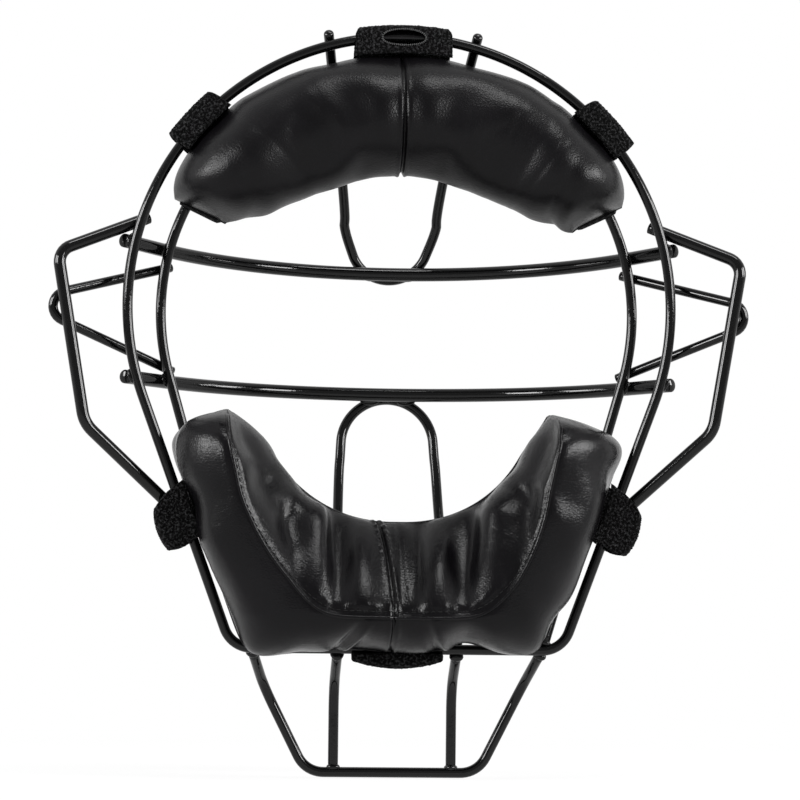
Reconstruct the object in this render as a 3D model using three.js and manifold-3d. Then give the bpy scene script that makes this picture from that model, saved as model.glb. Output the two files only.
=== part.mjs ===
// Umpire mask: a welded wire cage, a forehead pad and a chin pad, and six hook-and-loop tabs.
// Millimetres. +X is the wearer's right, +Y points forward out of the cage, +Z is up.
// The origin is the centre of the rear hoop's round top, in the plane of that hoop.
import * as THREE from 'three';
import { mergeVertices } from 'three/addons/utils/BufferGeometryUtils.js';
import Module from 'manifold-3d';

const DEG = Math.PI / 180;
const GAP = 0.3; // air between pieces that are welded, sewn or pressed together

// Wire diameters.
const HOOP_WIRE = 4.7;
const EYE_WIRE = 6.35;
const EAR_WIRE = 5.6;
const BRACE_WIRE = 4.4;
const WIRE_SIDES = 10;
const BEND_STEPS = 4;

// The two hoops. The taper is the angle of the straight sides from the vertical.
const REAR = { radius: 123.8, rise: 0, taper: 20.2 * DEG, depth: 0, arcSteps: 40 };
const FRONT_INSET = 15.1; // how much smaller the front hoop's round top is
const FRONT = {
  radius: REAR.radius - FRONT_INSET, rise: -1.5, taper: 16.1 * DEG, depth: 19, arcSteps: 32,
};
const BOTTOM_BAR = { level: -155.2, cornerBend: 13 };
const WELD_ASIDE = 1.2; // of wires that meet at one place on the bottom bar, over or under it
const FRONT_BEND_LEVEL = -72; // below this the front hoop leans back to the bottom bar
const FRONT_BEND = 40;

// Helpers for bent wire.

// A wire's centre line that keeps every given point as one ring of its tube.
class WireLine extends THREE.Curve {
  constructor(points, closed = false) {
    super();
    this.points = closed ? [...points, points[0]] : points;
    this.closed = closed;
  }
  getPoint(t) {
    const spans = this.points.length - 1;
    const span = Math.min(Math.floor(t * spans), spans - 1);
    return this.points[span].clone().lerp(this.points[span + 1], t * spans - span);
  }
  getPointAt(t) {
    return this.getPoint(t);
  }
  getTangent(t) {
    const spans = this.points.length - 1;
    const at = Math.round(t * spans);
    const last = this.closed ? this.points[spans - 1] : this.points[0];
    const next = this.closed ? this.points[1] : this.points[spans];
    const before = at > 0 ? this.points[at - 1] : last;
    const after = at < spans ? this.points[at + 1] : next;
    return after.clone().sub(before).normalize();
  }
  getTangentAt(t) {
    return this.getTangent(t);
  }
}

// Round every inner corner of a run of points with the given bend radius.
function bend(corners, radius, steps = BEND_STEPS) {
  const points = [corners[0].clone()];
  for (let i = 1; i < corners.length - 1; i += 1) {
    const inward = corners[i - 1].clone().sub(corners[i]).normalize();
    const outward = corners[i + 1].clone().sub(corners[i]).normalize();
    const half = inward.angleTo(outward) / 2;
    const reach = radius / Math.tan(half);
    const middle = inward.clone().add(outward).normalize();
    const centre = corners[i].clone().addScaledVector(middle, radius / Math.sin(half));
    const from = corners[i].clone().addScaledVector(inward, reach).sub(centre);
    const axis = from.clone().cross(corners[i].clone().sub(centre)).normalize();
    for (let k = 0; k <= steps; k += 1) {
      const turn = ((Math.PI - 2 * half) * k) / steps;
      points.push(from.clone().applyAxisAngle(axis, turn).add(centre));
    }
  }
  points.push(corners[corners.length - 1].clone());
  return points;
}

function tube(points, diameter, closed = false) {
  const line = new WireLine(points, closed);
  const steps = line.points.length - 1;
  if (closed) {
    return new THREE.TubeGeometry(line, steps, diameter / 2, WIRE_SIDES, true);
  }
  const round = new THREE.Shape();
  round.absarc(0, 0, diameter / 2, 0, 2 * Math.PI);
  return new THREE.ExtrudeGeometry(round, {
    steps, extrudePath: line, curveSegments: WIRE_SIDES / 2, bevelEnabled: false,
  });
}

// How far apart, along "lift", two crossing centre lines stand so that the wires just clear.
function crossing(underWay, overWay, diameters, lift) {
  const common = underWay.clone().cross(overWay).normalize();
  return ((diameters[0] + diameters[1]) / 2 + GAP) / Math.abs(common.dot(lift));
}

function mirrored(points) {
  return points.map((p) => new THREE.Vector3(-p.x, p.y, p.z));
}

// A half given from its end to the centre plane, and its mirror image, as one run of points.
function bothHalves(points) {
  const other = mirrored(points).reverse();
  const shared = Math.abs(points[points.length - 1].x) < GAP / 2 ? 1 : 0;
  return [...points, ...other.slice(shared)];
}

// The hoops.

// Where a hoop's round top ends and its straight side begins.
function shoulder(hoop) {
  return {
    x: hoop.radius * Math.cos(hoop.taper),
    z: hoop.rise - hoop.radius * Math.sin(hoop.taper),
  };
}

// Half the width of a hoop's centre line at a level.
function halfWidth(hoop, z) {
  const s = shoulder(hoop);
  if (z < s.z) {
    return s.x - (s.z - z) * Math.tan(hoop.taper);
  }
  return Math.sqrt(hoop.radius ** 2 - (z - hoop.rise) ** 2);
}

// The level of a hoop's round top at a distance from the middle.
function topLevel(hoop, x) {
  return hoop.rise + Math.sqrt(hoop.radius ** 2 - x ** 2);
}

// The way a hoop's centre line runs at a level on the right-hand side, going up.
function hoopWay(hoop, z) {
  const s = shoulder(hoop);
  const turn = z < s.z ? -hoop.taper : Math.asin((z - hoop.rise) / hoop.radius);
  return new THREE.Vector3(-Math.sin(turn), 0, Math.cos(turn));
}

function roundTop(hoop) {
  const points = [];
  const sweep = Math.PI + 2 * hoop.taper;
  for (let i = 0; i <= hoop.arcSteps; i += 1) {
    const turn = -hoop.taper + (sweep * i) / hoop.arcSteps;
    points.push(new THREE.Vector3(
      hoop.radius * Math.cos(turn), hoop.depth, hoop.rise + hoop.radius * Math.sin(turn)));
  }
  return points;
}

const rearFoot = halfWidth(REAR, BOTTOM_BAR.level);

function rearHoop() {
  const top = roundTop(REAR);
  const corners = [
    top[top.length - 1],
    new THREE.Vector3(-rearFoot, REAR.depth, BOTTOM_BAR.level),
    new THREE.Vector3(rearFoot, REAR.depth, BOTTOM_BAR.level),
    top[0],
  ];
  const lower = bend(corners, BOTTOM_BAR.cornerBend, 2 * BEND_STEPS);
  return tube([...top, ...lower.slice(1, -1)], HOOP_WIRE, true);
}

// The level part of the bottom bar ends where its corner bends begin.
const barEnd = rearFoot
  - BOTTOM_BAR.cornerBend * Math.tan((Math.PI / 2 - REAR.taper) / 2);

// The end of a wire that comes from "start" and is butt welded to the bottom bar at half
// width x. "above" is how far over the bar's middle the wire aims.
function buttOnBar(x, start, above) {
  const foot = new THREE.Vector3(x, REAR.depth, BOTTOM_BAR.level + above);
  const way = foot.clone().sub(start).normalize();
  const radius = HOOP_WIRE / 2;
  const stand = (radius + 2 * GAP + radius * Math.abs(way.x)) / Math.hypot(way.y, way.z);
  return foot.addScaledVector(way, -stand);
}

function frontHoopSide() {
  const bendPoint = new THREE.Vector3(
    halfWidth(FRONT, FRONT_BEND_LEVEL), FRONT.depth, FRONT_BEND_LEVEL);
  return [buttOnBar(barEnd, bendPoint, 0), bendPoint];
}

function frontHoop() {
  const top = roundTop(FRONT);
  const [end, bendPoint] = frontHoopSide();
  const side = bend([end, bendPoint, top[0]], FRONT_BEND, BEND_STEPS);
  const points = [...side.slice(0, -1), ...top, ...mirrored(side).reverse().slice(1)];
  return tube(points, HOOP_WIRE);
}

// The eye bars.

// Each bar lies over the front outer side of both hoops and bows forward in one arc.
const EYE_OVERHANG = 1.8; // of the bar past the rear hoop's weld
const EYE_ARC_STEPS = 14;
const UPPER_EYE = { level: 28.2, tilt: 4.6 * DEG };
const LOWER_EYE = { level: -33.6, tilt: 1.1 * DEG };

function eyeBarLine(bar) {
  const rearX = halfWidth(REAR, bar.level);
  const frontX = halfWidth(FRONT, bar.level);
  const slope = Math.atan2(FRONT.depth - REAR.depth, rearX - frontX);
  const lift = new THREE.Vector3(Math.sin(slope), Math.cos(slope), 0);
  const way = new THREE.Vector3(-Math.cos(slope), Math.sin(slope), 0);
  const sizes = [HOOP_WIRE, EYE_WIRE];
  const stand = crossing(hoopWay(REAR, bar.level), way, sizes, lift);
  const atRear = new THREE.Vector3(rearX, REAR.depth, bar.level).addScaledVector(lift, stand);
  const atFront = new THREE.Vector3(frontX, FRONT.depth, bar.level).addScaledVector(lift, stand);
  const end = atRear.clone().addScaledVector(way, -EYE_OVERHANG);
  const bow = atFront.x / Math.sin(slope);
  const points = [end, atRear];
  for (let i = 0; i <= EYE_ARC_STEPS; i += 1) {
    const turn = slope * (1 - i / EYE_ARC_STEPS);
    points.push(new THREE.Vector3(
      bow * Math.sin(turn), atFront.y + bow * (Math.cos(turn) - Math.cos(slope)), bar.level));
  }
  for (const p of points) {
    p.z = bar.level - (p.y - atRear.y) * Math.tan(bar.tilt);
  }
  return points;
}

function eyeBar(bar) {
  return tube(bothHalves(eyeBarLine(bar)), EYE_WIRE);
}

// The middle of an eye bar's centre line.
function eyeMiddle(bar) {
  const line = eyeBarLine(bar);
  return line[line.length - 1];
}

// The brow bar and the chin bar, both U-shaped.

// A U is drawn flat, as half widths against the length along the wire's side view, and then
// laid over that side view. "side" turns a length into the depth and level there.
function layOver(flat, side) {
  return flat.map((p) => {
    const [depth, level] = side(p.y);
    return new THREE.Vector3(p.x, depth, level);
  });
}

// Half of a U's flat outline: a round end, then a smooth leg through the given points.
function flatU(arch, sweep, leg, archSteps, legSteps) {
  const points = [];
  for (let i = 0; i <= archSteps; i += 1) {
    const turn = (sweep * i) / archSteps;
    points.push(new THREE.Vector2(arch * Math.sin(turn), arch * (1 - Math.cos(turn))));
  }
  const run = new THREE.SplineCurve([points[points.length - 1], ...leg]);
  return [...points, ...run.getPoints(legSteps).slice(1)].reverse();
}

// One arc in a side view, from "start", where its normal is "lift", to "end".
function sideArc(start, end, lift) {
  const chord = end.clone().sub(start);
  const radius = -chord.lengthSq() / (2 * chord.dot(lift));
  const centre = start.clone().addScaledVector(lift, -radius);
  const startTurn = Math.atan2(start.z - centre.z, start.y - centre.y);
  const endTurn = Math.atan2(end.z - centre.z, end.y - centre.y);
  const at = (turn) => [centre.y + radius * Math.cos(turn), centre.z + radius * Math.sin(turn)];
  return { radius, startTurn, endTurn, at };
}

const BROW = {
  topHalf: 34.4, crossHalf: 31.4, waistHalf: 22.9, waistUp: 41.5, shoulderHalf: 21.8, shoulderUp: 26,
  arch: 18.5, sweep: 70 * DEG, knob: 4.5, bottom: 20.4, archSteps: 6, legSteps: 14, fitSteps: 4,
};

// The brow bar's side view: straight over both hoops, then one arc down to the eye bar.
function browSide() {
  const rearTop = topLevel(REAR, BROW.topHalf);
  const frontTop = topLevel(FRONT, BROW.crossHalf);
  const slope = Math.atan2(rearTop - frontTop, FRONT.depth - REAR.depth);
  const lift = new THREE.Vector3(0, Math.sin(slope), Math.cos(slope));
  const way = new THREE.Vector3(0, Math.cos(slope), -Math.sin(slope));
  const hoopTurn = Math.asin(BROW.crossHalf / FRONT.radius);
  const under = new THREE.Vector3(Math.cos(hoopTurn), 0, -Math.sin(hoopTurn));
  const stand = crossing(under, way, [HOOP_WIRE, HOOP_WIRE], lift);
  const atRear = new THREE.Vector3(0, REAR.depth, rearTop).addScaledVector(lift, stand);
  const atFront = new THREE.Vector3(0, FRONT.depth, frontTop).addScaledVector(lift, stand);
  const eye = eyeMiddle(UPPER_EYE);
  const clear = (EYE_WIRE + HOOP_WIRE) / 2 + GAP;
  const low = new THREE.Vector3(0, eye.y + clear, BROW.bottom);
  let arc = sideArc(atFront, low, lift);
  // The wire leans back from the eye bar, so its depth there follows from its own lean.
  for (let round = 0; round < BROW.fitSteps; round += 1) {
    const drop = (low.z - eye.z) * Math.sin(arc.endTurn);
    low.y = eye.y + (clear - drop) / Math.cos(arc.endTurn);
    arc = sideArc(atFront, low, lift);
  }
  const bowed = arc.radius * (arc.startTurn - arc.endTurn);
  const side = (length) => {
    if (length <= bowed) {
      return arc.at(arc.endTurn + length / arc.radius);
    }
    const past = atFront.clone().addScaledVector(way, bowed - length);
    return [past.y, past.z];
  };
  return { side, length: bowed + atFront.distanceTo(atRear) + BROW.knob };
}

function browBar() {
  const { side, length } = browSide();
  const leg = [
    new THREE.Vector2(BROW.shoulderHalf, BROW.shoulderUp),
    new THREE.Vector2(BROW.waistHalf, BROW.waistUp),
    new THREE.Vector2(BROW.topHalf, length),
  ];
  const flat = flatU(BROW.arch, BROW.sweep, leg, BROW.archSteps, BROW.legSteps);
  return tube(bothHalves(layOver(flat, side)), HOOP_WIRE);
}

const CHIN_BAR = {
  footHalf: 26.8, waistHalf: 23.5, waistDown: 48, shoulderHalf: 22.4, shoulderDown: 28,
  arch: 22, sweep: 84 * DEG, lean: 5 * DEG, top: -36.9, archSteps: 6, legSteps: 12,
};

// The chin bar's side view: one arc from the lower eye bar back to the bottom bar.
function chinSide() {
  const eye = eyeMiddle(LOWER_EYE);
  const high = new THREE.Vector3(
    0, eye.y + (EYE_WIRE + HOOP_WIRE) / 2 + GAP, CHIN_BAR.top);
  const foot = new THREE.Vector3(0, REAR.depth, BOTTOM_BAR.level + WELD_ASIDE);
  const lift = new THREE.Vector3(0, Math.cos(CHIN_BAR.lean), -Math.sin(CHIN_BAR.lean));
  const arc = sideArc(high, foot, lift);
  const stand = HOOP_WIRE / 2 + 2 * GAP;
  const side = (length) => arc.at(arc.startTurn - length / arc.radius);
  return { side, length: arc.radius * (arc.startTurn - arc.endTurn) - stand };
}

function chinBar() {
  const { side, length } = chinSide();
  const leg = [
    new THREE.Vector2(CHIN_BAR.shoulderHalf, CHIN_BAR.shoulderDown),
    new THREE.Vector2(CHIN_BAR.waistHalf, CHIN_BAR.waistDown),
    new THREE.Vector2(CHIN_BAR.footHalf, length),
  ];
  const flat = flatU(CHIN_BAR.arch, CHIN_BAR.sweep, leg, CHIN_BAR.archSteps, CHIN_BAR.legSteps);
  return tube(bothHalves(layOver(flat, side)), HOOP_WIRE);
}

// The ear guards and their braces.

// The wing's corner points, as reaches past the rear hoop's radius and levels, before its bends
// are rounded.
const EAR = {
  topWeld: 38, topOverlap: 4, topReach: 31.5, topCorner: 21.8, topBend: 8,
  lowWeld: -98.5, lowOverlap: 0.4, lowReach: 18.4, lowCorner: -55.5, lowBend: 14,
  sweepBack: -8,
};

// The end of the wing past its weld on the front of the rear hoop, seen from its corner.
function earEnd(weldLevel, overlap, corner) {
  const weld = new THREE.Vector3(halfWidth(REAR, weldLevel), REAR.depth, weldLevel);
  const lift = new THREE.Vector3(0, 1, 0);
  const flatWay = weld.clone().sub(corner).normalize();
  const stand = crossing(hoopWay(REAR, weldLevel), flatWay, [HOOP_WIRE, EAR_WIRE], lift);
  weld.addScaledVector(lift, stand);
  const way = weld.clone().sub(corner).normalize();
  return weld.addScaledVector(way, overlap);
}

function earGuardLine() {
  const top = new THREE.Vector3(REAR.radius + EAR.topReach, EAR.sweepBack, EAR.topCorner);
  const low = new THREE.Vector3(REAR.radius + EAR.lowReach, EAR.sweepBack, EAR.lowCorner);
  const upper = bend([earEnd(EAR.topWeld, EAR.topOverlap, top), top, low], EAR.topBend);
  const lower = bend([top, low, earEnd(EAR.lowWeld, EAR.lowOverlap, low)], EAR.lowBend);
  return [...upper.slice(0, -1), ...lower.slice(1)];
}

// Half the width between the wings' middle lines at a level between their corners.
function wingHalf(z) {
  const share = (EAR.topCorner - z) / (EAR.topCorner - EAR.lowCorner);
  return REAR.radius + EAR.topReach + (EAR.lowReach - EAR.topReach) * share;
}

// The hairpin: its round end stands outside the wing, its legs end on the front hoop.
const BRACE = {
  pastWing: 6, bendRadius: 7, level: -2.6, upperWeld: 18, lowerWeld: -28.2, overlap: 3.5,
  archSteps: 6,
};

// The place on the front of the front hoop where a leg of the brace is welded.
function braceWeld(level, turnCentre) {
  const weld = new THREE.Vector3(halfWidth(FRONT, level), FRONT.depth, level);
  const lift = new THREE.Vector3(0, 1, 0);
  const way = turnCentre.clone().sub(weld).normalize();
  const sizes = [HOOP_WIRE, BRACE_WIRE];
  return weld.addScaledVector(lift, crossing(hoopWay(FRONT, level), way, sizes, lift));
}

function earBraceLine() {
  const depth = EAR.sweepBack + (EAR_WIRE + BRACE_WIRE) / 2 + GAP;
  const end = wingHalf(BRACE.level) + BRACE.pastWing;
  const centre = new THREE.Vector3(end - BRACE.bendRadius, depth, BRACE.level);
  const welds = [BRACE.upperWeld, BRACE.lowerWeld].map((level) => braceWeld(level, centre));
  // The angle, seen from the bend's centre, at which the leg to each weld leaves the bend.
  const [from, to] = welds.map((weld, i) => {
    const reach = Math.hypot(weld.x - centre.x, weld.z - centre.z);
    const aim = Math.atan2(weld.z - centre.z, weld.x - centre.x);
    const open = Math.acos(BRACE.bendRadius / reach);
    return i === 0 ? aim - open : aim + open;
  });
  const arc = [];
  for (let i = 0; i <= BRACE.archSteps; i += 1) {
    const turn = from + ((to - from) * i) / BRACE.archSteps;
    arc.push(new THREE.Vector3(Math.cos(turn), 0, Math.sin(turn))
      .multiplyScalar(BRACE.bendRadius).add(centre));
  }
  const past = (weld, leave) => weld.clone()
    .addScaledVector(weld.clone().sub(leave).normalize(), BRACE.overlap);
  return [past(welds[0], arc[0]), ...arc, past(welds[1], arc[arc.length - 1])];
}

// The throat guard.

const THROAT = {
  topHalf: 68, bottomHalf: 39.5, tall: 56.4, depth: 25, bendDown: 17.8, cornerBend: 13,
  leanBend: 20, rodHalf: 27,
};

const THROAT_BOTTOM = BOTTOM_BAR.level - THROAT.tall;
const THROAT_BEND = BOTTOM_BAR.level - THROAT.bendDown;

// Half the width between the loop's sides at a level.
function throatHalf(z) {
  const share = (z - THROAT_BOTTOM) / THROAT.tall;
  return THROAT.bottomHalf + (THROAT.topHalf - THROAT.bottomHalf) * share;
}

function throatLoop() {
  const lean = new THREE.Vector3(throatHalf(THROAT_BEND), THROAT.depth, THROAT_BEND);
  const corner = new THREE.Vector3(THROAT.bottomHalf, THROAT.depth, THROAT_BOTTOM);
  const other = new THREE.Vector3(-THROAT.bottomHalf, THROAT.depth, THROAT_BOTTOM);
  const side = bend([buttOnBar(barEnd, lean, 0), lean, corner], THROAT.leanBend);
  const floor = bend([lean, corner, other], THROAT.cornerBend).slice(1, -1);
  return tube(bothHalves([...side.slice(0, -1), ...floor]), HOOP_WIRE);
}

function throatRodLine() {
  const lean = new THREE.Vector3(THROAT.rodHalf, THROAT.depth, THROAT_BEND);
  const stand = HOOP_WIRE / 2 + GAP;
  const end = new THREE.Vector3(THROAT.rodHalf, THROAT.depth, THROAT_BOTTOM + stand);
  return bend([buttOnBar(THROAT.rodHalf, lean, -WELD_ASIDE), lean, end], THROAT.leanBend);
}

// The pads.

// Both pads are drawn round a centre: an angle along the pad, and at each angle a section
// of radius against height. The height stands rearward from a base surface on the cage.
const PAD_SKIN = 1.2; // vinyl with its backing
const RIM_GAP = 0.5; // between a pad's back panel and the rims of its other panels
const SEAM_SHARE = 0.014; // of a panel's width, left open at a seam

const FOREHEAD = {
  centreLevel: 0, up: 1, edgeInset: 4.2, edgeFlare: 3.3, wide: 63.6, lowFlare: 22,
  endAngle: 64.5 * DEG,
  tall: 39, endRound: 17 * DEG, cornerShare: 0.3, seamDip: 2.5, seamWide: 7, drawn: 6.8,
  drawnShares: 12, flareShares: 3.2, flareAngle: 50 * DEG, endSlant: 0,
};
const CHIN = {
  centreLevel: -52, up: -1, lowEdge: BOTTOM_BAR.level - 3.3, innerReach: 44, innerFlare: 14,
  endAngle: 93.5 * DEG,
  ridgeDepth: -35, endRound: 20 * DEG, cornerShare: 0.34, seamDip: 2, seamWide: 8, drawn: 2,
  drawnShares: 5, endSlant: 8 * DEG, cornerShares: 30,
  ridgeLevel: BOTTOM_BAR.level + 13.9, ridgeReach: 74.5, ridgeFlare: 36, ridgeFlareAngle: 75 * DEG,
  innerAngle: 80 * DEG, innerShares: 1.6, ridgeShares: 1.5,
};
const PAD_REST = FRONT.depth - HOOP_WIRE / 2 - GAP; // the pads' fronts lie on the front hoop
const CHIN_REST = REAR.depth - HOOP_WIRE / 2 - GAP; // and behind the bottom bar
const CHIN_SLOPE = { from: -60, to: BOTTOM_BAR.level + 15.2 };

// A rounded smaller-of-two.
function blendLess(a, b, sharpness) {
  return (a ** -sharpness + b ** -sharpness) ** (-1 / sharpness);
}

const foreheadPad = {
  ...FOREHEAD,
  base: () => PAD_REST - PAD_SKIN - RIM_GAP,
  outer: (angle) => REAR.radius - HOOP_WIRE / 2 - FOREHEAD.edgeInset
    + FOREHEAD.edgeFlare * Math.min(Math.abs(angle) / FOREHEAD.flareAngle, 1) ** 2,
  inner: (angle) => REAR.radius - FOREHEAD.wide
    + FOREHEAD.lowFlare * (Math.abs(angle) / FOREHEAD.endAngle) ** FOREHEAD.flareShares,
  ridge: (angle) => (foreheadPad.outer(angle) + foreheadPad.inner(angle)) / 2,
  height: () => FOREHEAD.tall,
  rise: { side: [2.4, 0.45], face: [2.4, 0.45] },
};

const chinPad = {
  ...CHIN,
  base: (z) => {
    const share = THREE.MathUtils.clamp(
      (z - CHIN_SLOPE.to) / (CHIN_SLOPE.from - CHIN_SLOPE.to), 0, 1);
    return CHIN_REST + (PAD_REST - CHIN_REST) * share - PAD_SKIN - RIM_GAP;
  },
  outer: (angle) => {
    const s = shoulder(REAR);
    const inset = (HOOP_WIRE / 2 + 2 * GAP) / Math.cos(REAR.taper);
    const slope = Math.tan(REAR.taper);
    const turn = Math.abs(angle);
    const side = (s.x - inset - slope * (s.z - CHIN.centreLevel))
      / (Math.sin(turn) + slope * Math.cos(turn));
    const floor = (CHIN.centreLevel - CHIN.lowEdge) / Math.max(Math.cos(turn), SEAM_SHARE);
    return blendLess(side, floor, CHIN.cornerShares);
  },
  inner: (angle) => CHIN.innerReach
    + CHIN.innerFlare * (Math.abs(angle) / CHIN.innerAngle) ** CHIN.innerShares,
  ridge: (angle) => {
    const turn = Math.abs(angle);
    const flare = Math.max(1 - turn / CHIN.ridgeFlareAngle, 0) ** CHIN.ridgeShares;
    const side = CHIN.ridgeReach + CHIN.ridgeFlare * flare;
    const floor = (CHIN.centreLevel - CHIN.ridgeLevel) / Math.max(Math.cos(turn), SEAM_SHARE);
    return blendLess(side, floor, CHIN.cornerShares);
  },
  height: (angle) => {
    const z = CHIN.centreLevel - chinPad.ridge(angle) * Math.cos(angle);
    return chinPad.base(z) - CHIN.ridgeDepth;
  },
  rise: { side: [2.2, 0.5], face: [1.35, 0.9] },
};

// The end of a pad is rounded off by these shares, in its height and in its width.
const END_SHARES = { tall: 2.8, tallRoot: 1 / 2.4, wide: 5 };

// A point of a pad's outside. "along" runs 0 to 1 from the centre seam to the end, "across"
// from 0 at the outer rim over 1 at the ridge to 2 at the inner rim. "onBase" drops the point
// to the base surface.
function padPoint(pad, side, along, across, onBase = false) {
  const late = Math.max(0, 1 - ((1 - along) * pad.endAngle) / pad.endRound);
  const slant = pad.endSlant * Math.max(0, 1 - across) * late ** 2;
  const angle = along * pad.endAngle - slant;
  const tallShare = Math.max(0, 1 - late ** END_SHARES.tall) ** END_SHARES.tallRoot;
  const wideShare = 1 - pad.cornerShare * late ** END_SHARES.wide;
  const ridge = pad.ridge(angle);
  const seamArc = (angle * ridge) / pad.seamWide;
  const dip = pad.seamDip * Math.exp(-(seamArc ** 2));
  const height = (pad.height(angle) - dip) * tallShare;
  const isSide = across < 1;
  const rim = isSide ? pad.outer(angle) : pad.inner(angle);
  const spread = Math.cos((Math.min(across, 2 - across) * Math.PI) / 2);
  const [fullness, roundness] = isSide ? pad.rise.side : pad.rise.face;
  const riseShare = onBase ? 0 : Math.max(0, 1 - spread ** fullness) ** roundness;
  const drawn = pad.drawn * (1 - riseShare) ** pad.drawnShares
    * Math.sign(rim - ridge) * spread;
  const radius = ridge + ((rim - ridge) * spread - drawn) * wideShare;
  const z = pad.centreLevel + pad.up * radius * Math.cos(angle);
  return new THREE.Vector3(
    side * radius * Math.sin(angle), pad.base(z) - riseShare * height, z);
}

// The place on a pad of row number r, counted from the centre seam, and minus on the left.
// The rows stand closer together towards the rounded ends.
function rowPoint(pad, r, steps, across, onBase = false) {
  const even = Math.abs(r) / steps;
  const along = (even + Math.sin((even * Math.PI) / 2)) / 2;
  return padPoint(pad, Math.sign(r) || 1, along, across, onBase);
}

// The same place moved straight in from the outside by a depth.
function rowInside(pad, r, steps, across, acrossStep, inset) {
  const run = rowPoint(pad, Math.min(r + 1, steps), steps, across)
    .sub(rowPoint(pad, Math.max(r - 1, -steps), steps, across));
  const turn = rowPoint(pad, r, steps, Math.min(across + acrossStep, 2))
    .sub(rowPoint(pad, r, steps, Math.max(across - acrossStep, 0)));
  const inward = run.cross(turn).normalize();
  const point = rowPoint(pad, r, steps, across);
  const heart = rowPoint(pad, r - Math.sign(r), steps, 1, true);
  if (heart.sub(point).dot(inward) < 0) {
    inward.negate();
  }
  point.addScaledVector(inward, inset);
  point.y = Math.min(point.y, pad.base(point.z));
  return point;
}

// Six times the volume inside a mesh; it is negative where the faces look inward.
function turnOf(position, index) {
  const corner = (i) => new THREE.Vector3().fromArray(position, 3 * index[i]);
  let sum = 0;
  for (let i = 0; i < index.length; i += 3) {
    sum += corner(i).dot(corner(i + 1).cross(corner(i + 2)));
  }
  return sum;
}

// A closed mesh from two matching grids of points, front and back, and the four edges.
function slab(front, back) {
  const rows = front.length;
  const cols = front[0].length;
  const position = [];
  const index = [];
  for (const grid of [front, back]) {
    for (const row of grid) {
      for (const p of row) {
        position.push(p.x, p.y, p.z);
      }
    }
  }
  const at = (layer, r, c) => layer * rows * cols + r * cols + c;
  const quad = (a, b, c, d) => {
    index.push(a, b, c, a, c, d);
  };
  for (let r = 0; r < rows - 1; r += 1) {
    for (let c = 0; c < cols - 1; c += 1) {
      quad(at(0, r, c), at(0, r + 1, c), at(0, r + 1, c + 1), at(0, r, c + 1));
      quad(at(1, r, c), at(1, r, c + 1), at(1, r + 1, c + 1), at(1, r + 1, c));
    }
  }
  for (let r = 0; r < rows - 1; r += 1) {
    quad(at(0, r, 0), at(1, r, 0), at(1, r + 1, 0), at(0, r + 1, 0));
    quad(at(0, r, cols - 1), at(0, r + 1, cols - 1), at(1, r + 1, cols - 1), at(1, r, cols - 1));
  }
  for (let c = 0; c < cols - 1; c += 1) {
    quad(at(0, 0, c), at(0, 0, c + 1), at(1, 0, c + 1), at(1, 0, c));
    quad(at(0, rows - 1, c), at(1, rows - 1, c), at(1, rows - 1, c + 1), at(0, rows - 1, c + 1));
  }
  if (turnOf(position, index) < 0) {
    index.reverse();
  }
  const geometry = new THREE.BufferGeometry();
  geometry.setAttribute('position', new THREE.Float32BufferAttribute(position, 3));
  geometry.setIndex(index);
  geometry.computeVertexNormals();
  return geometry;
}

// Rows of points along a pad, from one row number and one place across to another.
function padRows(fromRow, toRow, fromAcross, toAcross, acrossSteps, pointAt) {
  const rows = [];
  for (let r = fromRow; r <= toRow; r += 1) {
    const row = [];
    for (let c = 0; c <= acrossSteps; c += 1) {
      row.push(pointAt(r, fromAcross + ((toAcross - fromAcross) * c) / acrossSteps));
    }
    rows.push(row);
  }
  return rows;
}

// A panel of vinyl on one side of the centre seam, from one place across the pad to another.
function panel(pad, side, from, to, steps, acrossSteps) {
  const start = side < 0 ? -steps : 0;
  const acrossStep = (to - from) / acrossSteps;
  const grid = (inset) => padRows(start, start + steps, from, to, acrossSteps, (r, across) => {
    const p = rowInside(pad, r, steps, across, acrossStep, inset);
    p.x += (side * GAP) / 2;
    return p;
  });
  return slab(grid(0), grid(PAD_SKIN));
}

// The whole pad's flat panel, on the cage side of the foam.
function backPanel(pad, steps, acrossSteps) {
  const grid = (lift) => padRows(-steps, steps, 0, 2, acrossSteps, (r, across) => {
    const p = rowPoint(pad, r, steps, across, true);
    p.y += lift;
    return p;
  });
  return slab(grid(RIM_GAP), grid(RIM_GAP + PAD_SKIN));
}

// The foam: the room inside the panels, a gap clear of them. It leaves out the last two rows, and
// its own rims stand back from the panels' rims.
const FOAM_GAP = 0.7;
const FOAM_RIM = 1.8;

function foam(pad, steps, acrossSteps) {
  const front = padRows(2 - steps, steps - 2, 0, 2, acrossSteps, (r, across) => {
    const back = across % 2 === 0 ? FOAM_RIM : FOAM_GAP;
    const p = rowInside(pad, r, steps, across, 2 / acrossSteps, PAD_SKIN + back);
    p.y = Math.min(p.y, pad.base(p.z) - FOAM_GAP - GAP);
    return p;
  });
  const floor = front.map((row) => row.map((_, c) => {
    const p = row[0].clone().lerp(row[acrossSteps], c / acrossSteps);
    p.y = pad.base(p.z) - FOAM_GAP;
    return p;
  }));
  return slab(front, floor);
}

// The hook-and-loop tabs.

// A tab is drawn in its own frame: "out" is away from the pad across the hoop, "depth" is
// forward. The sewn half passes behind the wire and over it; the flap is the folded end.
const TAPE = 2;
const TAPE_STEPS = 2; // across half a tab's width
const CLEAR = HOOP_WIRE / 2 + GAP; // from a hoop's centre line to the tape
const NEAR = -CLEAR - TAPE / 2; // the depth of the sewn half's middle
const FAR = CLEAR + GAP + TAPE / 2; // and of the flap's, where nothing else is under it

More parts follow.
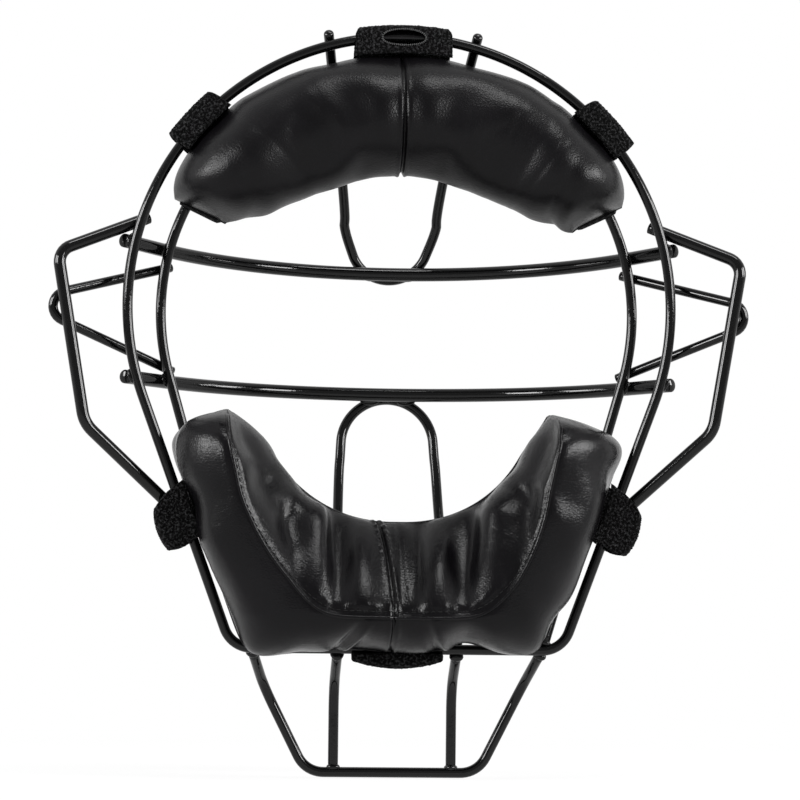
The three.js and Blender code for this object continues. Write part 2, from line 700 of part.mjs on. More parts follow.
// "edge" is where the pad's edge lies and "fold" the room inside the fold. The flap turns in
// at "turnOut", runs over the pad's edge at "dropDepth" and ends "reach" past that edge.
const CROWN_TAB = {
  halfWide: 22.2, fold: 3.3, turnOut: -1.5, dropPast: 1.5, dropDepth: 8, reach: 5.9,
  slotHalf: 9.4, slotTall: 6.4, slotOut: -0.9, edge: foreheadPad.outer(0) - REAR.radius,
};
const BROW_ANGLE = 48 * DEG;
const BROW_TAB = {
  halfWide: 14.1, fold: 5.5, turnOut: -1.2, dropPast: 1.5, dropDepth: 8, reach: 5.9,
  edge: foreheadPad.outer(BROW_ANGLE) - REAR.radius,
};
// "over" is the depth of the flap's middle where it covers the ear guard's wire.
const JAW_TAB = {
  halfWide: 13, fold: 12.2, shoulderDepth: 7, shoulderOut: 8.5, over: 10.1,
  turnOut: -2, end: -7.4, level: EAR.lowWeld + 4, edge: -HOOP_WIRE / 2 - 2 * GAP,
};
const HEM_TAB = {
  halfWide: 20.5, fold: 6.8, turnOut: -4, dropOut: -8, end: -15,
  edge: chinPad.outer(0) - (CHIN.centreLevel - BOTTOM_BAR.level),
};

const flat = (out, depth) => new THREE.Vector2(out, depth);

// The sewn half's middle line: behind the hoop, then over it at the fold.
function sewnRun(tab) {
  const out = tab.fold + TAPE / 2;
  return () => [flat(tab.edge + GAP, NEAR), flat(out, NEAR), flat(out, CLEAR)];
}

// The flap of a forehead tab, which hugs the pad's edge.
function headRun(tab) {
  const out = tab.fold + TAPE / 2;
  return () => [
    flat(out, CLEAR + GAP), flat(out, FAR), flat(tab.turnOut, FAR),
    flat(tab.edge + tab.dropPast, tab.dropDepth),
    flat(tab.edge - tab.reach, PAD_REST + GAP + TAPE / 2),
  ];
}

// The flap of the tab at the bottom bar, which drops behind the bar to the pad's panel.
function hemRun(tab) {
  const out = tab.fold + TAPE / 2;
  return () => [
    flat(out, CLEAR + GAP), flat(out, FAR), flat(tab.turnOut, FAR),
    flat(tab.dropOut, REAR.depth), flat(tab.end, CHIN_REST + GAP + TAPE / 2),
  ];
}

// A flap that also covers the ear guard's weld. Its end follows the pad's sloping panel.
function jawRun(tab) {
  const out = tab.fold + TAPE / 2;
  return (wide) => {
    const press = (at) => {
      const level = tab.level + wide * Math.cos(REAR.taper) - at * Math.sin(REAR.taper);
      return chinPad.base(level) + RIM_GAP + PAD_SKIN + GAP + TAPE / 2;
    };
    const over = Math.max(tab.over, press(tab.turnOut));
    return [
      flat(out, CLEAR + GAP), flat(out, tab.shoulderDepth), flat(tab.shoulderOut, tab.over),
      flat(tab.turnOut, over), flat(tab.end, press(tab.end)),
    ];
  };
}

// The two faces of the tape along a middle line.
function tapeFaces(run) {
  const left = [];
  const right = [];
  run.forEach((p, i) => {
    const before = run[Math.max(i - 1, 0)];
    const after = run[Math.min(i + 1, run.length - 1)];
    const inWay = (i > 0 ? p.clone().sub(before) : after.clone().sub(p)).normalize();
    const outWay = (i < run.length - 1 ? after.clone().sub(p) : inWay.clone()).normalize();
    const mean = inWay.clone().add(outWay).normalize();
    const normal = new THREE.Vector2(-mean.y, mean.x).multiplyScalar(TAPE / 2 / mean.dot(inWay));
    left.push(p.clone().add(normal));
    right.push(p.clone().sub(normal));
  });
  return [left, right];
}

// A tab's half: its middle line at each place across its width, as thick as the tape.
function tape(runAt, tab, frame) {
  const grids = [[], []];
  for (let k = -TAPE_STEPS; k <= TAPE_STEPS; k += 1) {
    const wide = (tab.halfWide * k) / TAPE_STEPS;
    tapeFaces(runAt(wide)).forEach((face, i) => {
      grids[i].push(face.map((p) => new THREE.Vector3(p.x, p.y, wide).applyMatrix4(frame)));
    });
  }
  return slab(grids[0], grids[1]);
}

// The frame of a tab: x is out, y is depth and z runs across the tab, up where it can.
function tabFrame(origin, out) {
  const depth = new THREE.Vector3(0, 1, 0);
  const wide = out.clone().cross(depth);
  if (wide.z < 0) {
    wide.negate();
  }
  return new THREE.Matrix4().makeBasis(out, depth, wide).setPosition(origin);
}

const wasm = await Module();
wasm.setup();

function toManifold(geometry) {
  const bare = geometry.clone();
  bare.deleteAttribute('normal');
  bare.deleteAttribute('uv');
  const merged = mergeVertices(bare);
  return new wasm.Manifold(new wasm.Mesh({
    numProp: 3,
    vertProperties: new Float32Array(merged.attributes.position.array),
    triVerts: new Uint32Array(merged.index.array),
  }));
}

function fromManifold(solid) {
  const result = solid.getMesh();
  const geometry = new THREE.BufferGeometry();
  geometry.setAttribute('position', new THREE.BufferAttribute(result.vertProperties, 3));
  geometry.setIndex(new THREE.BufferAttribute(result.triVerts, 1));
  geometry.computeVertexNormals();
  return geometry;
}

// The crown tab's sewn half has an oval slot for a head strap.
function slotted(geometry, tab, frame) {
  const oval = new THREE.Shape();
  const end = tab.slotTall / 2;
  const middle = tab.slotHalf - end;
  oval.absarc(middle, tab.slotOut, end, -Math.PI / 2, Math.PI / 2);
  oval.absarc(-middle, tab.slotOut, end, Math.PI / 2, (3 * Math.PI) / 2);
  const cutter = new THREE.ExtrudeGeometry(oval, {
    depth: 3 * TAPE, bevelEnabled: false, curveSegments: BEND_STEPS,
  });
  const turn = new THREE.Matrix4().makeBasis(
    new THREE.Vector3(0, 0, 1), new THREE.Vector3(1, 0, 0), new THREE.Vector3(0, 1, 0));
  cutter.translate(0, 0, NEAR - TAPE - TAPE / 2);
  cutter.applyMatrix4(turn);
  cutter.applyMatrix4(frame);
  return fromManifold(toManifold(geometry).subtract(toManifold(cutter)));
}

// The assembly.

const COAT = { color: 0x0a0a0b, roughness: 0.18, metalness: 0.0 };
const VINYL = { color: 0x131217, roughness: 0.42, metalness: 0.0 };
const FOAM = { color: 0x3b3b3d, roughness: 0.95, metalness: 0.0 };
const FUZZ = { color: 0x0c0c0c, roughness: 1.0, metalness: 0.0 };

const mask = new THREE.Group();

function add(name, geometry, finish) {
  const mesh = new THREE.Mesh(geometry, new THREE.MeshStandardMaterial(finish));
  mesh.name = name;
  mask.add(mesh);
}

// The wearer's left is -X.
const SIDES = [['left', -1], ['right', 1]];
const onSide = (points, side) => (side < 0 ? mirrored(points) : points);

add('rear_hoop', rearHoop(), COAT);
add('front_hoop', frontHoop(), COAT);
add('upper_eye_bar', eyeBar(UPPER_EYE), COAT);
add('lower_eye_bar', eyeBar(LOWER_EYE), COAT);
add('brow_bar', browBar(), COAT);
add('chin_bar', chinBar(), COAT);
add('throat_guard_loop', throatLoop(), COAT);
for (const [word, side] of SIDES) {
  add(`ear_guard_${word}`, tube(onSide(earGuardLine(), side), EAR_WIRE), COAT);
  add(`ear_brace_${word}`, tube(onSide(earBraceLine(), side), BRACE_WIRE), COAT);
  add(`throat_rod_${word}`, tube(onSide(throatRodLine(), side), HOOP_WIRE), COAT);
}

const PANEL_STEPS = { along: 16, across: 6 };

add('forehead_foam', foam(foreheadPad, PANEL_STEPS.along, 2 * PANEL_STEPS.across), FOAM);
add('forehead_back_panel', backPanel(foreheadPad, PANEL_STEPS.along, BEND_STEPS), VINYL);
add('chin_foam', foam(chinPad, PANEL_STEPS.along, 2 * PANEL_STEPS.across), FOAM);
add('chin_back_panel', backPanel(chinPad, PANEL_STEPS.along, BEND_STEPS), VINYL);
for (const [word, side] of SIDES) {
  const { along, across } = PANEL_STEPS;
  add(`forehead_cover_${word}`, panel(foreheadPad, side, 0, 2, along, 2 * across), VINYL);
  add(`chin_side_panel_${word}`, panel(chinPad, side, 0, 1 - SEAM_SHARE, along, across), VINYL);
  add(`chin_face_panel_${word}`, panel(chinPad, side, 1 + SEAM_SHARE, 2, along, across), VINYL);
}

function addTab(name, tab, origin, out, flapRun, slot) {
  const frame = tabFrame(origin, out);
  const sewn = tape(sewnRun(tab), tab, frame);
  add(name, slot ? slotted(sewn, tab, frame) : sewn, FUZZ);
  add(`${name}_flap`, tape(flapRun, tab, frame), FUZZ);
}

const up = new THREE.Vector3(0, 0, 1);
addTab('forehead_tab_center', CROWN_TAB, up.clone().multiplyScalar(REAR.radius), up,
  headRun(CROWN_TAB), true);
addTab('chin_tab_center', HEM_TAB, new THREE.Vector3(0, REAR.depth, BOTTOM_BAR.level),
  up.clone().negate(), hemRun(HEM_TAB), false);
for (const [word, side] of SIDES) {
  const browOut = new THREE.Vector3(side * Math.sin(BROW_ANGLE), 0, Math.cos(BROW_ANGLE));
  addTab(`forehead_tab_${word}`, BROW_TAB, browOut.clone().multiplyScalar(REAR.radius), browOut,
    headRun(BROW_TAB), false);
  const jawOut = new THREE.Vector3(side * Math.cos(REAR.taper), 0, -Math.sin(REAR.taper));
  const jawAt = new THREE.Vector3(
    side * halfWidth(REAR, JAW_TAB.level), REAR.depth, JAW_TAB.level);
  addTab(`chin_tab_${word}`, JAW_TAB, jawAt, jawOut, jawRun(JAW_TAB), false);
}

export default mask;
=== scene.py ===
import math
import bmesh
import bpy
import numpy as np
from mathutils import Matrix


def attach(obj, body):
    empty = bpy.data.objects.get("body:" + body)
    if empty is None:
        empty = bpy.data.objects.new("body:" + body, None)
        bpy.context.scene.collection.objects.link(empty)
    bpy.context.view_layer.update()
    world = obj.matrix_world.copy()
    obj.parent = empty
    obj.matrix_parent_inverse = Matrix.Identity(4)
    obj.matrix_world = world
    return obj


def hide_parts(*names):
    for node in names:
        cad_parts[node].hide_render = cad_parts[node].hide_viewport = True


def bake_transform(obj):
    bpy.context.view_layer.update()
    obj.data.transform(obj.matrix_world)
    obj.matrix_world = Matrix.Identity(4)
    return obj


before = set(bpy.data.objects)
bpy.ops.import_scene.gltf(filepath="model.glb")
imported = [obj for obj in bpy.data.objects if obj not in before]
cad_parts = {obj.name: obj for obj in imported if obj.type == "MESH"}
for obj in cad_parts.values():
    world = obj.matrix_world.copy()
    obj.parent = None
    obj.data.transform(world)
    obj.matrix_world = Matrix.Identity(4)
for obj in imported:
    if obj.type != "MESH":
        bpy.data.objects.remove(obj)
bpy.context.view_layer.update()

MM = 0.001


# The photograph's view: the mask is seen from the wearer's side, from a little to the left
# and from below its middle, with a long lens and no lens shift.
def place_camera():
    """The camera looks along the photograph's direction, and its place is moved sideways and
    down until the mask's origin falls on its pixel."""
    picture, focal, origin_pixel = 800, 3300.0, (400.8, 306.8)
    distance, sensor = 1.5, 36
    turn, climb, roll = np.radians([-4.4, -4.0, -0.6])
    ahead = -np.array([math.sin(turn) * math.cos(climb), -math.cos(turn) * math.cos(climb),
                       math.sin(climb)])
    level = np.cross(ahead, [0, 0, 1])
    level = level / np.linalg.norm(level)
    right = math.cos(roll) * level - math.sin(roll) * np.cross(level, ahead)
    up = np.cross(right, ahead)
    aside, below = [(pixel - picture / 2) / focal * distance for pixel in origin_pixel]
    place = -ahead * distance - right * aside + up * below
    camera = bpy.data.objects.new("photo_camera", bpy.data.cameras.new("photo_camera"))
    camera.data.sensor_width = sensor
    camera.data.lens = focal / picture * sensor
    camera.data.clip_start, camera.data.clip_end = 0.1, 100
    camera.matrix_world = Matrix([
        [right[i], up[i], -ahead[i], place[i]] for i in range(3)] + [[0, 0, 0, 1]])
    bpy.context.collection.objects.link(camera)
    bpy.context.scene.camera = camera


place_camera()
bpy.context.scene.view_settings.view_transform = "Standard"


# The studio: a white surround that is darker on the camera's side, a pale floor, two
# tall soft boxes on either side of the mask, one beside it and one nearer the camera, and a
# wide one overhead. Only the boxes and a little even light fall on the mask.
SIDES = (("left", -1), ("right", 1))
FRONT_SHARE = 0.4


def add_node(nodes, kind, values=None, **settings):
    """A shader node with its settings, and plain values on the inputs that nothing drives."""
    node = nodes.new("ShaderNode" + kind)
    for setting, choice in settings.items():
        setattr(node, setting, choice)
    for socket, value in (values or {}).items():
        node.inputs[socket].default_value = value
    return node


def background_rays(nodes, links):
    """1 for the rays that show the surround itself: from the camera, a gloss or a clear part."""
    path = add_node(nodes, "LightPath")
    total = path.outputs["Is Camera Ray"]
    for name in ("Is Glossy Ray", "Is Transmission Ray"):
        add = add_node(nodes, "Math", operation="ADD", use_clamp=True)
        links.new(total, add.inputs[0])
        links.new(path.outputs[name], add.inputs[1])
        total = add.outputs[0]
    return total


def shown_level(nodes, links, way):
    """White behind and beside the mask, and a smooth fall to a share of white in the
    direction from which it is photographed. "way" is a direction out from the mask."""
    parts = add_node(nodes, "SeparateXYZ")
    fall = add_node(nodes, "MapRange", {"From Min": -0.6, "From Max": -0.1,
                                        "To Min": FRONT_SHARE, "To Max": 1},
                    interpolation_type="SMOOTHSTEP")
    links.new(way, parts.inputs[0])
    links.new(parts.outputs["Y"], fall.inputs["Value"])
    return fall.outputs["Result"]


def light_surround(plain):
    """Even light from all round, and for the rays that show the surround its own level."""
    world = bpy.data.worlds.new("studio")
    bpy.context.scene.world = world
    world.use_nodes = True
    nodes, links = world.node_tree.nodes, world.node_tree.links
    nodes.clear()
    light = add_node(nodes, "Background", {"Color": (1, 1, 1, 1), "Strength": plain})
    seen = add_node(nodes, "Background", {"Color": (1, 1, 1, 1)})
    mix, out = add_node(nodes, "MixShader"), add_node(nodes, "OutputWorld")
    way = add_node(nodes, "TexCoord").outputs["Generated"]
    links.new(shown_level(nodes, links, way), seen.inputs["Strength"])
    links.new(background_rays(nodes, links), mix.inputs["Fac"])
    links.new(light.outputs[0], mix.inputs[1])
    links.new(seen.outputs[0], mix.inputs[2])
    links.new(mix.outputs[0], out.inputs["Surface"])


def floor_paint(near, far, horizon):
    """A pale paint. For the rays that show the floor, a share of plain white is mixed in. It
    rises from the mask outwards to all of it, from "near" to "far", and from there to
    "horizon" that white goes over into the surround's own level: 1 plus a share, which grows
    with the distance, of the surround's level less 1. So the floor has no far edge."""
    material = bpy.data.materials.new("pale_floor")
    material.use_nodes = True
    nodes, links = material.node_tree.nodes, material.node_tree.links
    nodes.clear()
    paint = add_node(nodes, "BsdfDiffuse", {"Color": (0.9, 0.9, 0.9, 1)})
    white, mix = add_node(nodes, "Emission"), add_node(nodes, "MixShader")
    out = add_node(nodes, "OutputMaterial")
    place = add_node(nodes, "TexCoord").outputs["Object"]
    away = add_node(nodes, "VectorMath", operation="LENGTH")
    shown = add_node(nodes, "MapRange", {"From Min": near, "From Max": far,
                                         "To Min": 0.9, "To Max": 1})
    share = add_node(nodes, "Math", operation="MULTIPLY")
    ahead = add_node(nodes, "VectorMath", operation="NORMALIZE")
    far_off = add_node(nodes, "MapRange", {"From Min": far, "From Max": horizon})
    less = add_node(nodes, "Math", {1: 1}, operation="SUBTRACT")
    tone = add_node(nodes, "Math", {2: 1}, operation="MULTIPLY_ADD")
    links.new(place, ahead.inputs[0])
    links.new(shown_level(nodes, links, ahead.outputs["Vector"]), less.inputs[0])
    links.new(less.outputs[0], tone.inputs[0])
    links.new(far_off.outputs["Result"], tone.inputs[1])
    links.new(tone.outputs[0], white.inputs["Strength"])
    links.new(place, away.inputs[0])
    links.new(away.outputs["Value"], far_off.inputs["Value"])
    links.new(away.outputs["Value"], shown.inputs["Value"])
    links.new(shown.outputs["Result"], share.inputs[1])
    links.new(background_rays(nodes, links), share.inputs[0])
    links.new(share.outputs[0], mix.inputs["Fac"])
    links.new(paint.outputs[0], mix.inputs[1])
    links.new(white.outputs[0], mix.inputs[2])
    links.new(mix.outputs[0], out.inputs["Surface"])
    return material


def lay_floor(level, reach):
    """A level square round the mask, which reaches as far to each side."""
    mesh = bpy.data.meshes.new("studio_floor")
    mesh.from_pydata([(-reach, -reach, level), (reach, -reach, level), (reach, reach, level),
                      (-reach, reach, level)], [], [(0, 1, 2, 3)])
    mesh.materials.append(floor_paint(near=0.25, far=0.7, horizon=5))
    floor = bpy.data.objects.new("studio_floor", mesh)
    bpy.context.collection.objects.link(floor)


def soft_box(name, place, aim, width, height, watts):
    """A lit panel whose face is turned to the point "aim", and its height upright."""
    data = bpy.data.lights.new(name, "AREA")
    data.shape = "RECTANGLE"
    data.size, data.size_y, data.energy = width, height, watts
    lamp = bpy.data.objects.new(name, data)
    back = np.array(place, float) - np.array(aim, float)
    back = back / np.linalg.norm(back)
    side = np.cross([0, 0, 1] if abs(back[2]) < 0.9 else [0, 1, 0], back)
    side = side / np.linalg.norm(side)
    up = np.cross(back, side)
    lamp.matrix_world = Matrix([
        [side[i], up[i], back[i], place[i]] for i in range(3)] + [[0, 0, 0, 1]])
    lamp.visible_camera = False
    bpy.context.collection.objects.link(lamp)


light_surround(plain=0.1)
lay_floor(level=-0.2145, reach=14)
for word, sign in SIDES:
    soft_box(f"{word}_side_box", (1.45 * sign, -0.35, 0.42), aim=(0, 0, -0.05),
             width=0.45, height=0.6, watts=20)
for word, sign in SIDES:
    soft_box(f"{word}_front_box", (1.15 * sign, -0.97, 0.42), aim=(0, 0, -0.05),
             width=0.35, height=0.5, watts=16)
soft_box("top_soft_box", (0.3, -0.5, 1.3), aim=(0, 0, 0), width=0.9, height=0.25, watts=12)


# The rear hoop: a steel wire bent round the head's outline, its level bottom run the bottom
# bar of the cage. All the cage's wire is welded, then dipped in one thick gloss black coat.
HOOP_WIRE, GAP = 4.7, 0.3
REAR = dict(radius=123.8, rise=0.0, taper=math.radians(20.2), depth=0.0)
BAR_LEVEL, BAR_CORNER = -155.2, 13.0


def plain_material(name, specular):
    """A new material with its one shader. Returns them, its node tree and Object places."""
    material = bpy.data.materials.new(name)
    material.use_nodes = True
    nodes, links = material.node_tree.nodes, material.node_tree.links
    shader = nodes["Principled BSDF"]
    shader.inputs["Specular IOR Level"].default_value = specular
    return material, nodes, links, shader, add_node(nodes, "TexCoord").outputs["Object"]


def gloss_coat():
    """Black dipped coat: nearly mirror smooth, with a faint orange peel and dusty patches."""
    material, nodes, links, shader, place = plain_material("gloss_black_coat", 0.26)
    shader.inputs["Base Color"].default_value = (0.0015, 0.0015, 0.0016, 1)
    dust = add_node(nodes, "TexNoise", {"Scale": 45, "Detail": 4})
    rough = add_node(nodes, "MapRange", {"To Min": 0.06, "To Max": 0.12})
    peel = add_node(nodes, "TexNoise", {"Scale": 420, "Detail": 2})
    bump = add_node(nodes, "Bump", {"Strength": 0.35, "Distance": 0.00012})
    links.new(place, dust.inputs["Vector"])
    links.new(place, peel.inputs["Vector"])
    links.new(dust.outputs["Fac"], rough.inputs["Value"])
    links.new(rough.outputs["Result"], shader.inputs["Roughness"])
    links.new(peel.outputs["Fac"], bump.inputs["Height"])
    links.new(bump.outputs["Normal"], shader.inputs["Normal"])
    return material


COAT = gloss_coat()


def make_piece(name, points, faces, material):
    """A smooth mesh object at the origin, from points in millimetres and rows of corners."""
    mesh = bpy.data.meshes.new(name)
    mesh.from_pydata((np.asarray(points, float) * MM).reshape(-1, 3).tolist(), [], faces)
    mesh.materials.append(material)
    mesh.polygons.foreach_set("use_smooth", [True] * len(mesh.polygons))
    mesh.update()
    piece = bpy.data.objects.new(name, mesh)
    bpy.context.collection.objects.link(piece)
    return piece


def finish_mesh(piece, merge=True):
    """Joins points that lie on one another, so a closed form has single poles, and turns every
    face outwards. A cloth keeps all its points, so it goes without the first."""
    work = bmesh.new()
    work.from_mesh(piece.data)
    if merge:
        bmesh.ops.remove_doubles(work, verts=work.verts, dist=1e-6)
    bmesh.ops.recalc_face_normals(work, faces=work.faces)
    work.to_mesh(piece.data)
    work.free()


def ring_faces(here, there):
    """Four-cornered faces between rings of points and the rings that follow them. Each takes
    a point, its neighbour in the ring, and the two points that follow these."""
    return np.stack([here, np.roll(here, -1, 1), np.roll(there, -1, 1), there],
                    -1).reshape(-1, 4).tolist()


def unit(rows):
    """Directions: each row divided by its length."""
    return rows / np.linalg.norm(rows, axis=-1, keepdims=True)


def bent(corners, radius, steps=16):
    """Straight runs between corner points. Each inner corner becomes an arc of the bend radius:
    the arc's centre lies on the corner's bisector, and a point turns about it in even steps."""
    corners = [np.asarray(c, float) for c in corners]
    points = [corners[0]]
    for before, corner, after in zip(corners, corners[1:], corners[2:]):
        inward, outward = unit(before - corner), unit(after - corner)
        half = math.acos(np.clip(inward @ outward, -1, 1)) / 2
        centre = corner + unit(inward + outward) * radius / math.sin(half)
        start = corner + inward * radius / math.tan(half) - centre
        side = unit(corner - centre - unit(start) * ((corner - centre) @ unit(start)))
        turn = np.linspace(0, math.pi - 2 * half, steps + 1)[:, None]
        points.extend(centre + start * np.cos(turn) + side * radius * np.sin(turn))
    return np.array(points + [corners[-1]])


def both_sides(half):
    """A half that runs from its end to the middle plane, then its mirror image back out."""
    half = np.asarray(half, float)
    other = (half * [-1, 1, 1])[::-1]
    return np.concatenate([half, other[1:] if abs(half[-1][0]) < 0.15 else other])


def walked_along(line):
    """How far along a line each of its points lies: the sum of the steps up to it."""
    return np.concatenate([[0], np.cumsum(np.linalg.norm(np.diff(line, axis=0), axis=1))])


def read_at(rows, walked, at):
    """Rows that belong to a line's points, read evenly in between at other lengths along it."""
    return np.stack([np.interp(at, walked, column) for column in rows.T], 1)


def even_steps(line, step):
    """The line again, with points an even step apart along it."""
    walked = walked_along(line)
    at = np.linspace(0, walked[-1], max(8, round(walked[-1] / step)) + 1)
    return read_at(line, walked, at)


def wire(name, line, diameter, across, dome=0.0, closed=False, sides=28, material=COAT):
    """A circle carried along a line: point = line + radius (cos t * a + sin t * b), where a
    stands square to the line and to "across". Open ends close in a dome of rings, each with
    the radius of a ball at its height, and the dome as long as a share of the radius."""
    step, dome_rings = 1.5, 6
    points = even_steps(np.asarray(line, float), step)
    if closed:
        points = points[:-1]
        way = unit(np.roll(points, -1, 0) - np.roll(points, 1, 0))
    else:
        way = unit(np.gradient(points, axis=0))
    radius = np.full(len(points), diameter / 2)
    if not closed:
        lift = np.linspace(0, 1, dome_rings + 1)[1:]
        rings = diameter / 2 * np.sqrt(1 - lift ** 2) + 1e-3
        back = diameter / 2 * dome
        first = points[0] + way[0] * back * (1 - lift[::-1, None])
        last = points[-1] - way[-1] * back * (1 - lift[:, None])
        inner = slice(2, -2)
        radius = np.concatenate([rings[::-1], radius[inner], rings])
        points = np.concatenate([first, points[inner], last])
        way = np.concatenate([np.repeat(way[:1], dome_rings, 0), way[inner],
                              np.repeat(way[-1:], dome_rings, 0)])
    a = unit(np.cross(way, np.broadcast_to(across, way.shape)))
    b = np.cross(way, a)
    turn = np.linspace(0, 2 * math.pi, sides, endpoint=False)
    ring = np.cos(turn)[None, :, None] * a[:, None] + np.sin(turn)[None, :, None] * b[:, None]
    grid = np.arange(len(points) * sides).reshape(-1, sides)
    if closed:
        faces = ring_faces(grid, np.roll(grid, -1, 0))
    else:
        faces = ring_faces(grid[:-1], grid[1:]) + [grid[0][::-1].tolist(), grid[-1].tolist()]
    piece = make_piece(name, points[:, None] + radius[:, None, None] * ring, faces, material)
    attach(piece, "mask")
    return piece


def shoulder(hoop):
    """Where a hoop's round top goes over into its straight side: radius times the cosine and
    the sine of the side's taper, the sine downwards."""
    return (hoop["radius"] * math.cos(hoop["taper"]),
            hoop["rise"] - hoop["radius"] * math.sin(hoop["taper"]))


def half_width(hoop, z):
    """Half a hoop's width at a level: its arc above the shoulder, its tapered side below."""
    x, level = shoulder(hoop)
    if z < level:
        return x - (level - z) * math.tan(hoop["taper"])
    return math.sqrt(hoop["radius"] ** 2 - (z - hoop["rise"]) ** 2)


def hoop_way(hoop, z):
    """The hoop's own direction at a level: its taper on the side, else square to the radius."""
    level = shoulder(hoop)[1]
    turn = -hoop["taper"] if z < level else math.asin((z - hoop["rise"]) / hoop["radius"])
    return np.array([-math.sin(turn), 0, math.cos(turn)])


def round_top(hoop, steps=181):
    """The hoop's top: one arc from shoulder to shoulder, in even turns."""
    turn = np.linspace(-hoop["taper"], math.pi + hoop["taper"], steps)
    return np.stack([hoop["radius"] * np.cos(turn), np.full(steps, hoop["depth"]),
                     hoop["rise"] + hoop["radius"] * np.sin(turn)], 1)


rear_foot = half_width(REAR, BAR_LEVEL)
rear_top = round_top(REAR)
rear_low = bent([rear_top[-1], (-rear_foot, 0, BAR_LEVEL), (rear_foot, 0, BAR_LEVEL),
                 rear_top[0]], BAR_CORNER)
rear_wire = wire("rear_hoop_wire", np.concatenate([rear_top, rear_low[1:]]), HOOP_WIRE,
                 (0, 1, 0), closed=True)
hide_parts("rear_hoop")


# The front hoop: the same wire on a smaller outline, 19 mm in front. Its sides lean back
# below the cheeks and are butt welded on the corners of the bottom bar.
FRONT = dict(radius=108.7, rise=-1.5, taper=math.radians(16.1), depth=19.0)
FRONT_LEAN_LEVEL, FRONT_LEAN = -72.0, 40.0
BAR_END = rear_foot - BAR_CORNER * math.tan((math.pi / 2 - REAR["taper"]) / 2)


def butt_on_bar(x, start, above):
    """Where a wire that comes from "start" ends against the bottom bar's round side."""
    foot = np.array([x, REAR["depth"], BAR_LEVEL + above])
    way = unit(foot - start)
    radius = HOOP_WIRE / 2
    return foot - way * (radius + 2 * GAP + radius * abs(way[0])) / math.hypot(way[1], way[2])


def beads(name, spots):
    """Weld beads: at each spot a squashed ball, point = centre + the sum of three half axes
    times the ball's directions, with a slow wave over it as a weld pool leaves."""
    up = np.linspace(0, math.pi, 13)[:, None]
    about = np.linspace(0, 2 * math.pi, 20, endpoint=False)[None, :]
    ball = np.stack([np.sin(up) * np.cos(about), np.sin(up) * np.sin(about),
                     np.cos(up) + 0 * about], -1)
    verts, faces = [], []
    for number, (centre, axes) in enumerate(spots):
        wave = 1 + 0.07 * np.sin(3 * about + number) * np.sin(up) ** 2
        verts.append(np.asarray(centre) + (ball * wave[..., None]) @ np.asarray(axes, float))
        grid = (number * up.size + np.arange(up.size)[:, None]) * about.size
        grid = grid + np.arange(about.size)
        faces += ring_faces(grid[:-1], grid[1:])
    piece = make_piece(name, verts, faces, COAT)
    finish_mesh(piece)
    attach(piece, "mask")


def half_axes(ways, sizes):
    """A bead's half axes: three directions, each times its own size."""
    return np.array([np.asarray(way) * size for way, size in zip(ways, sizes)])


def collar(end, way, radius, reach):
    """A bead round a wire's butt end: its centre just past the end, and its half axes, two
    square to the wire and one along it."""
    past = 0.3
    a = unit(np.cross(way, [0.3, 0.5, 0.8]))
    return end - way * past, half_axes((a, np.cross(way, a), way), (radius, radius, reach))


front_top = round_top(FRONT)
lean_point = np.array([half_width(FRONT, FRONT_LEAN_LEVEL), FRONT["depth"], FRONT_LEAN_LEVEL])
front_end = butt_on_bar(BAR_END, lean_point, 0)
front_side = bent([front_end, lean_point, front_top[0]], FRONT_LEAN, 24)
front_wire = wire("front_hoop_wire", np.concatenate([
    front_side[:-1], front_top, (front_side * [-1, 1, 1])[::-1][1:]]), HOOP_WIRE, (0, 1, 0),
    dome=0.05)
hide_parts("front_hoop")
front_way = unit(lean_point - front_end)
beads("front_hoop_welds", [collar(front_end * m, front_way * m, radius=3.1, reach=1.7)
                           for m in ([1, 1, 1], [-1, 1, 1])])


# The two eye bars: thicker wire, bowed forward round the eyes. Each lies over the outside of
# both hoops, is welded where it crosses them, and ends just past the rear hoop.
EYE_WIRE, EYE_OVERHANG = 6.35, 1.8
EYE_BEAD = (2.6, 3.4, 1.5)
UPPER_EYE = dict(level=28.2, tilt=math.radians(4.6))
LOWER_EYE = dict(level=-33.6, tilt=math.radians(1.1))


def crossing(under, over, diameters, lift):
    """The distance along "lift" at which two crossing wires just clear each other."""
    return (sum(diameters) / 2 + GAP) / abs(unit(np.cross(under, over)) @ lift)


def eye_line(bar):
    """Half an eye bar: straight over the two hoops, then one arc whose tangent there is the
    straight's, and all of it dropped in proportion to how far forward it is."""
    rear_x, front_x = half_width(REAR, bar["level"]), half_width(FRONT, bar["level"])
    slope = math.atan2(FRONT["depth"] - REAR["depth"], rear_x - front_x)
    lift = np.array([math.sin(slope), math.cos(slope), 0])
    way = np.array([-math.cos(slope), math.sin(slope), 0])
    stand = crossing(hoop_way(REAR, bar["level"]), way, (HOOP_WIRE, EYE_WIRE), lift)
    at_rear = np.array([rear_x, REAR["depth"], bar["level"]]) + lift * stand
    at_front = np.array([front_x, FRONT["depth"], bar["level"]]) + lift * stand
    bow = at_front[0] / math.sin(slope)
    turn = slope * (1 - np.linspace(0, 1, 61))
    arc = np.stack([bow * np.sin(turn), at_front[1] + bow * (np.cos(turn) - math.cos(slope)),
                    np.full(61, bar["level"])], 1)
    line = np.concatenate([[at_rear - way * EYE_OVERHANG, at_rear], arc])
    line[:, 2] = bar["level"] - (line[:, 1] - at_rear[1]) * math.tan(bar["tilt"])
    return line, lift, way


def mirrored_spots(spots):
    """The beads' spots again with their mirror images: each X changes its sign."""
    flip = np.array([-1, 1, 1])
    return spots + [(np.asarray(c) * flip, np.asarray(a) * flip) for c, a in spots]


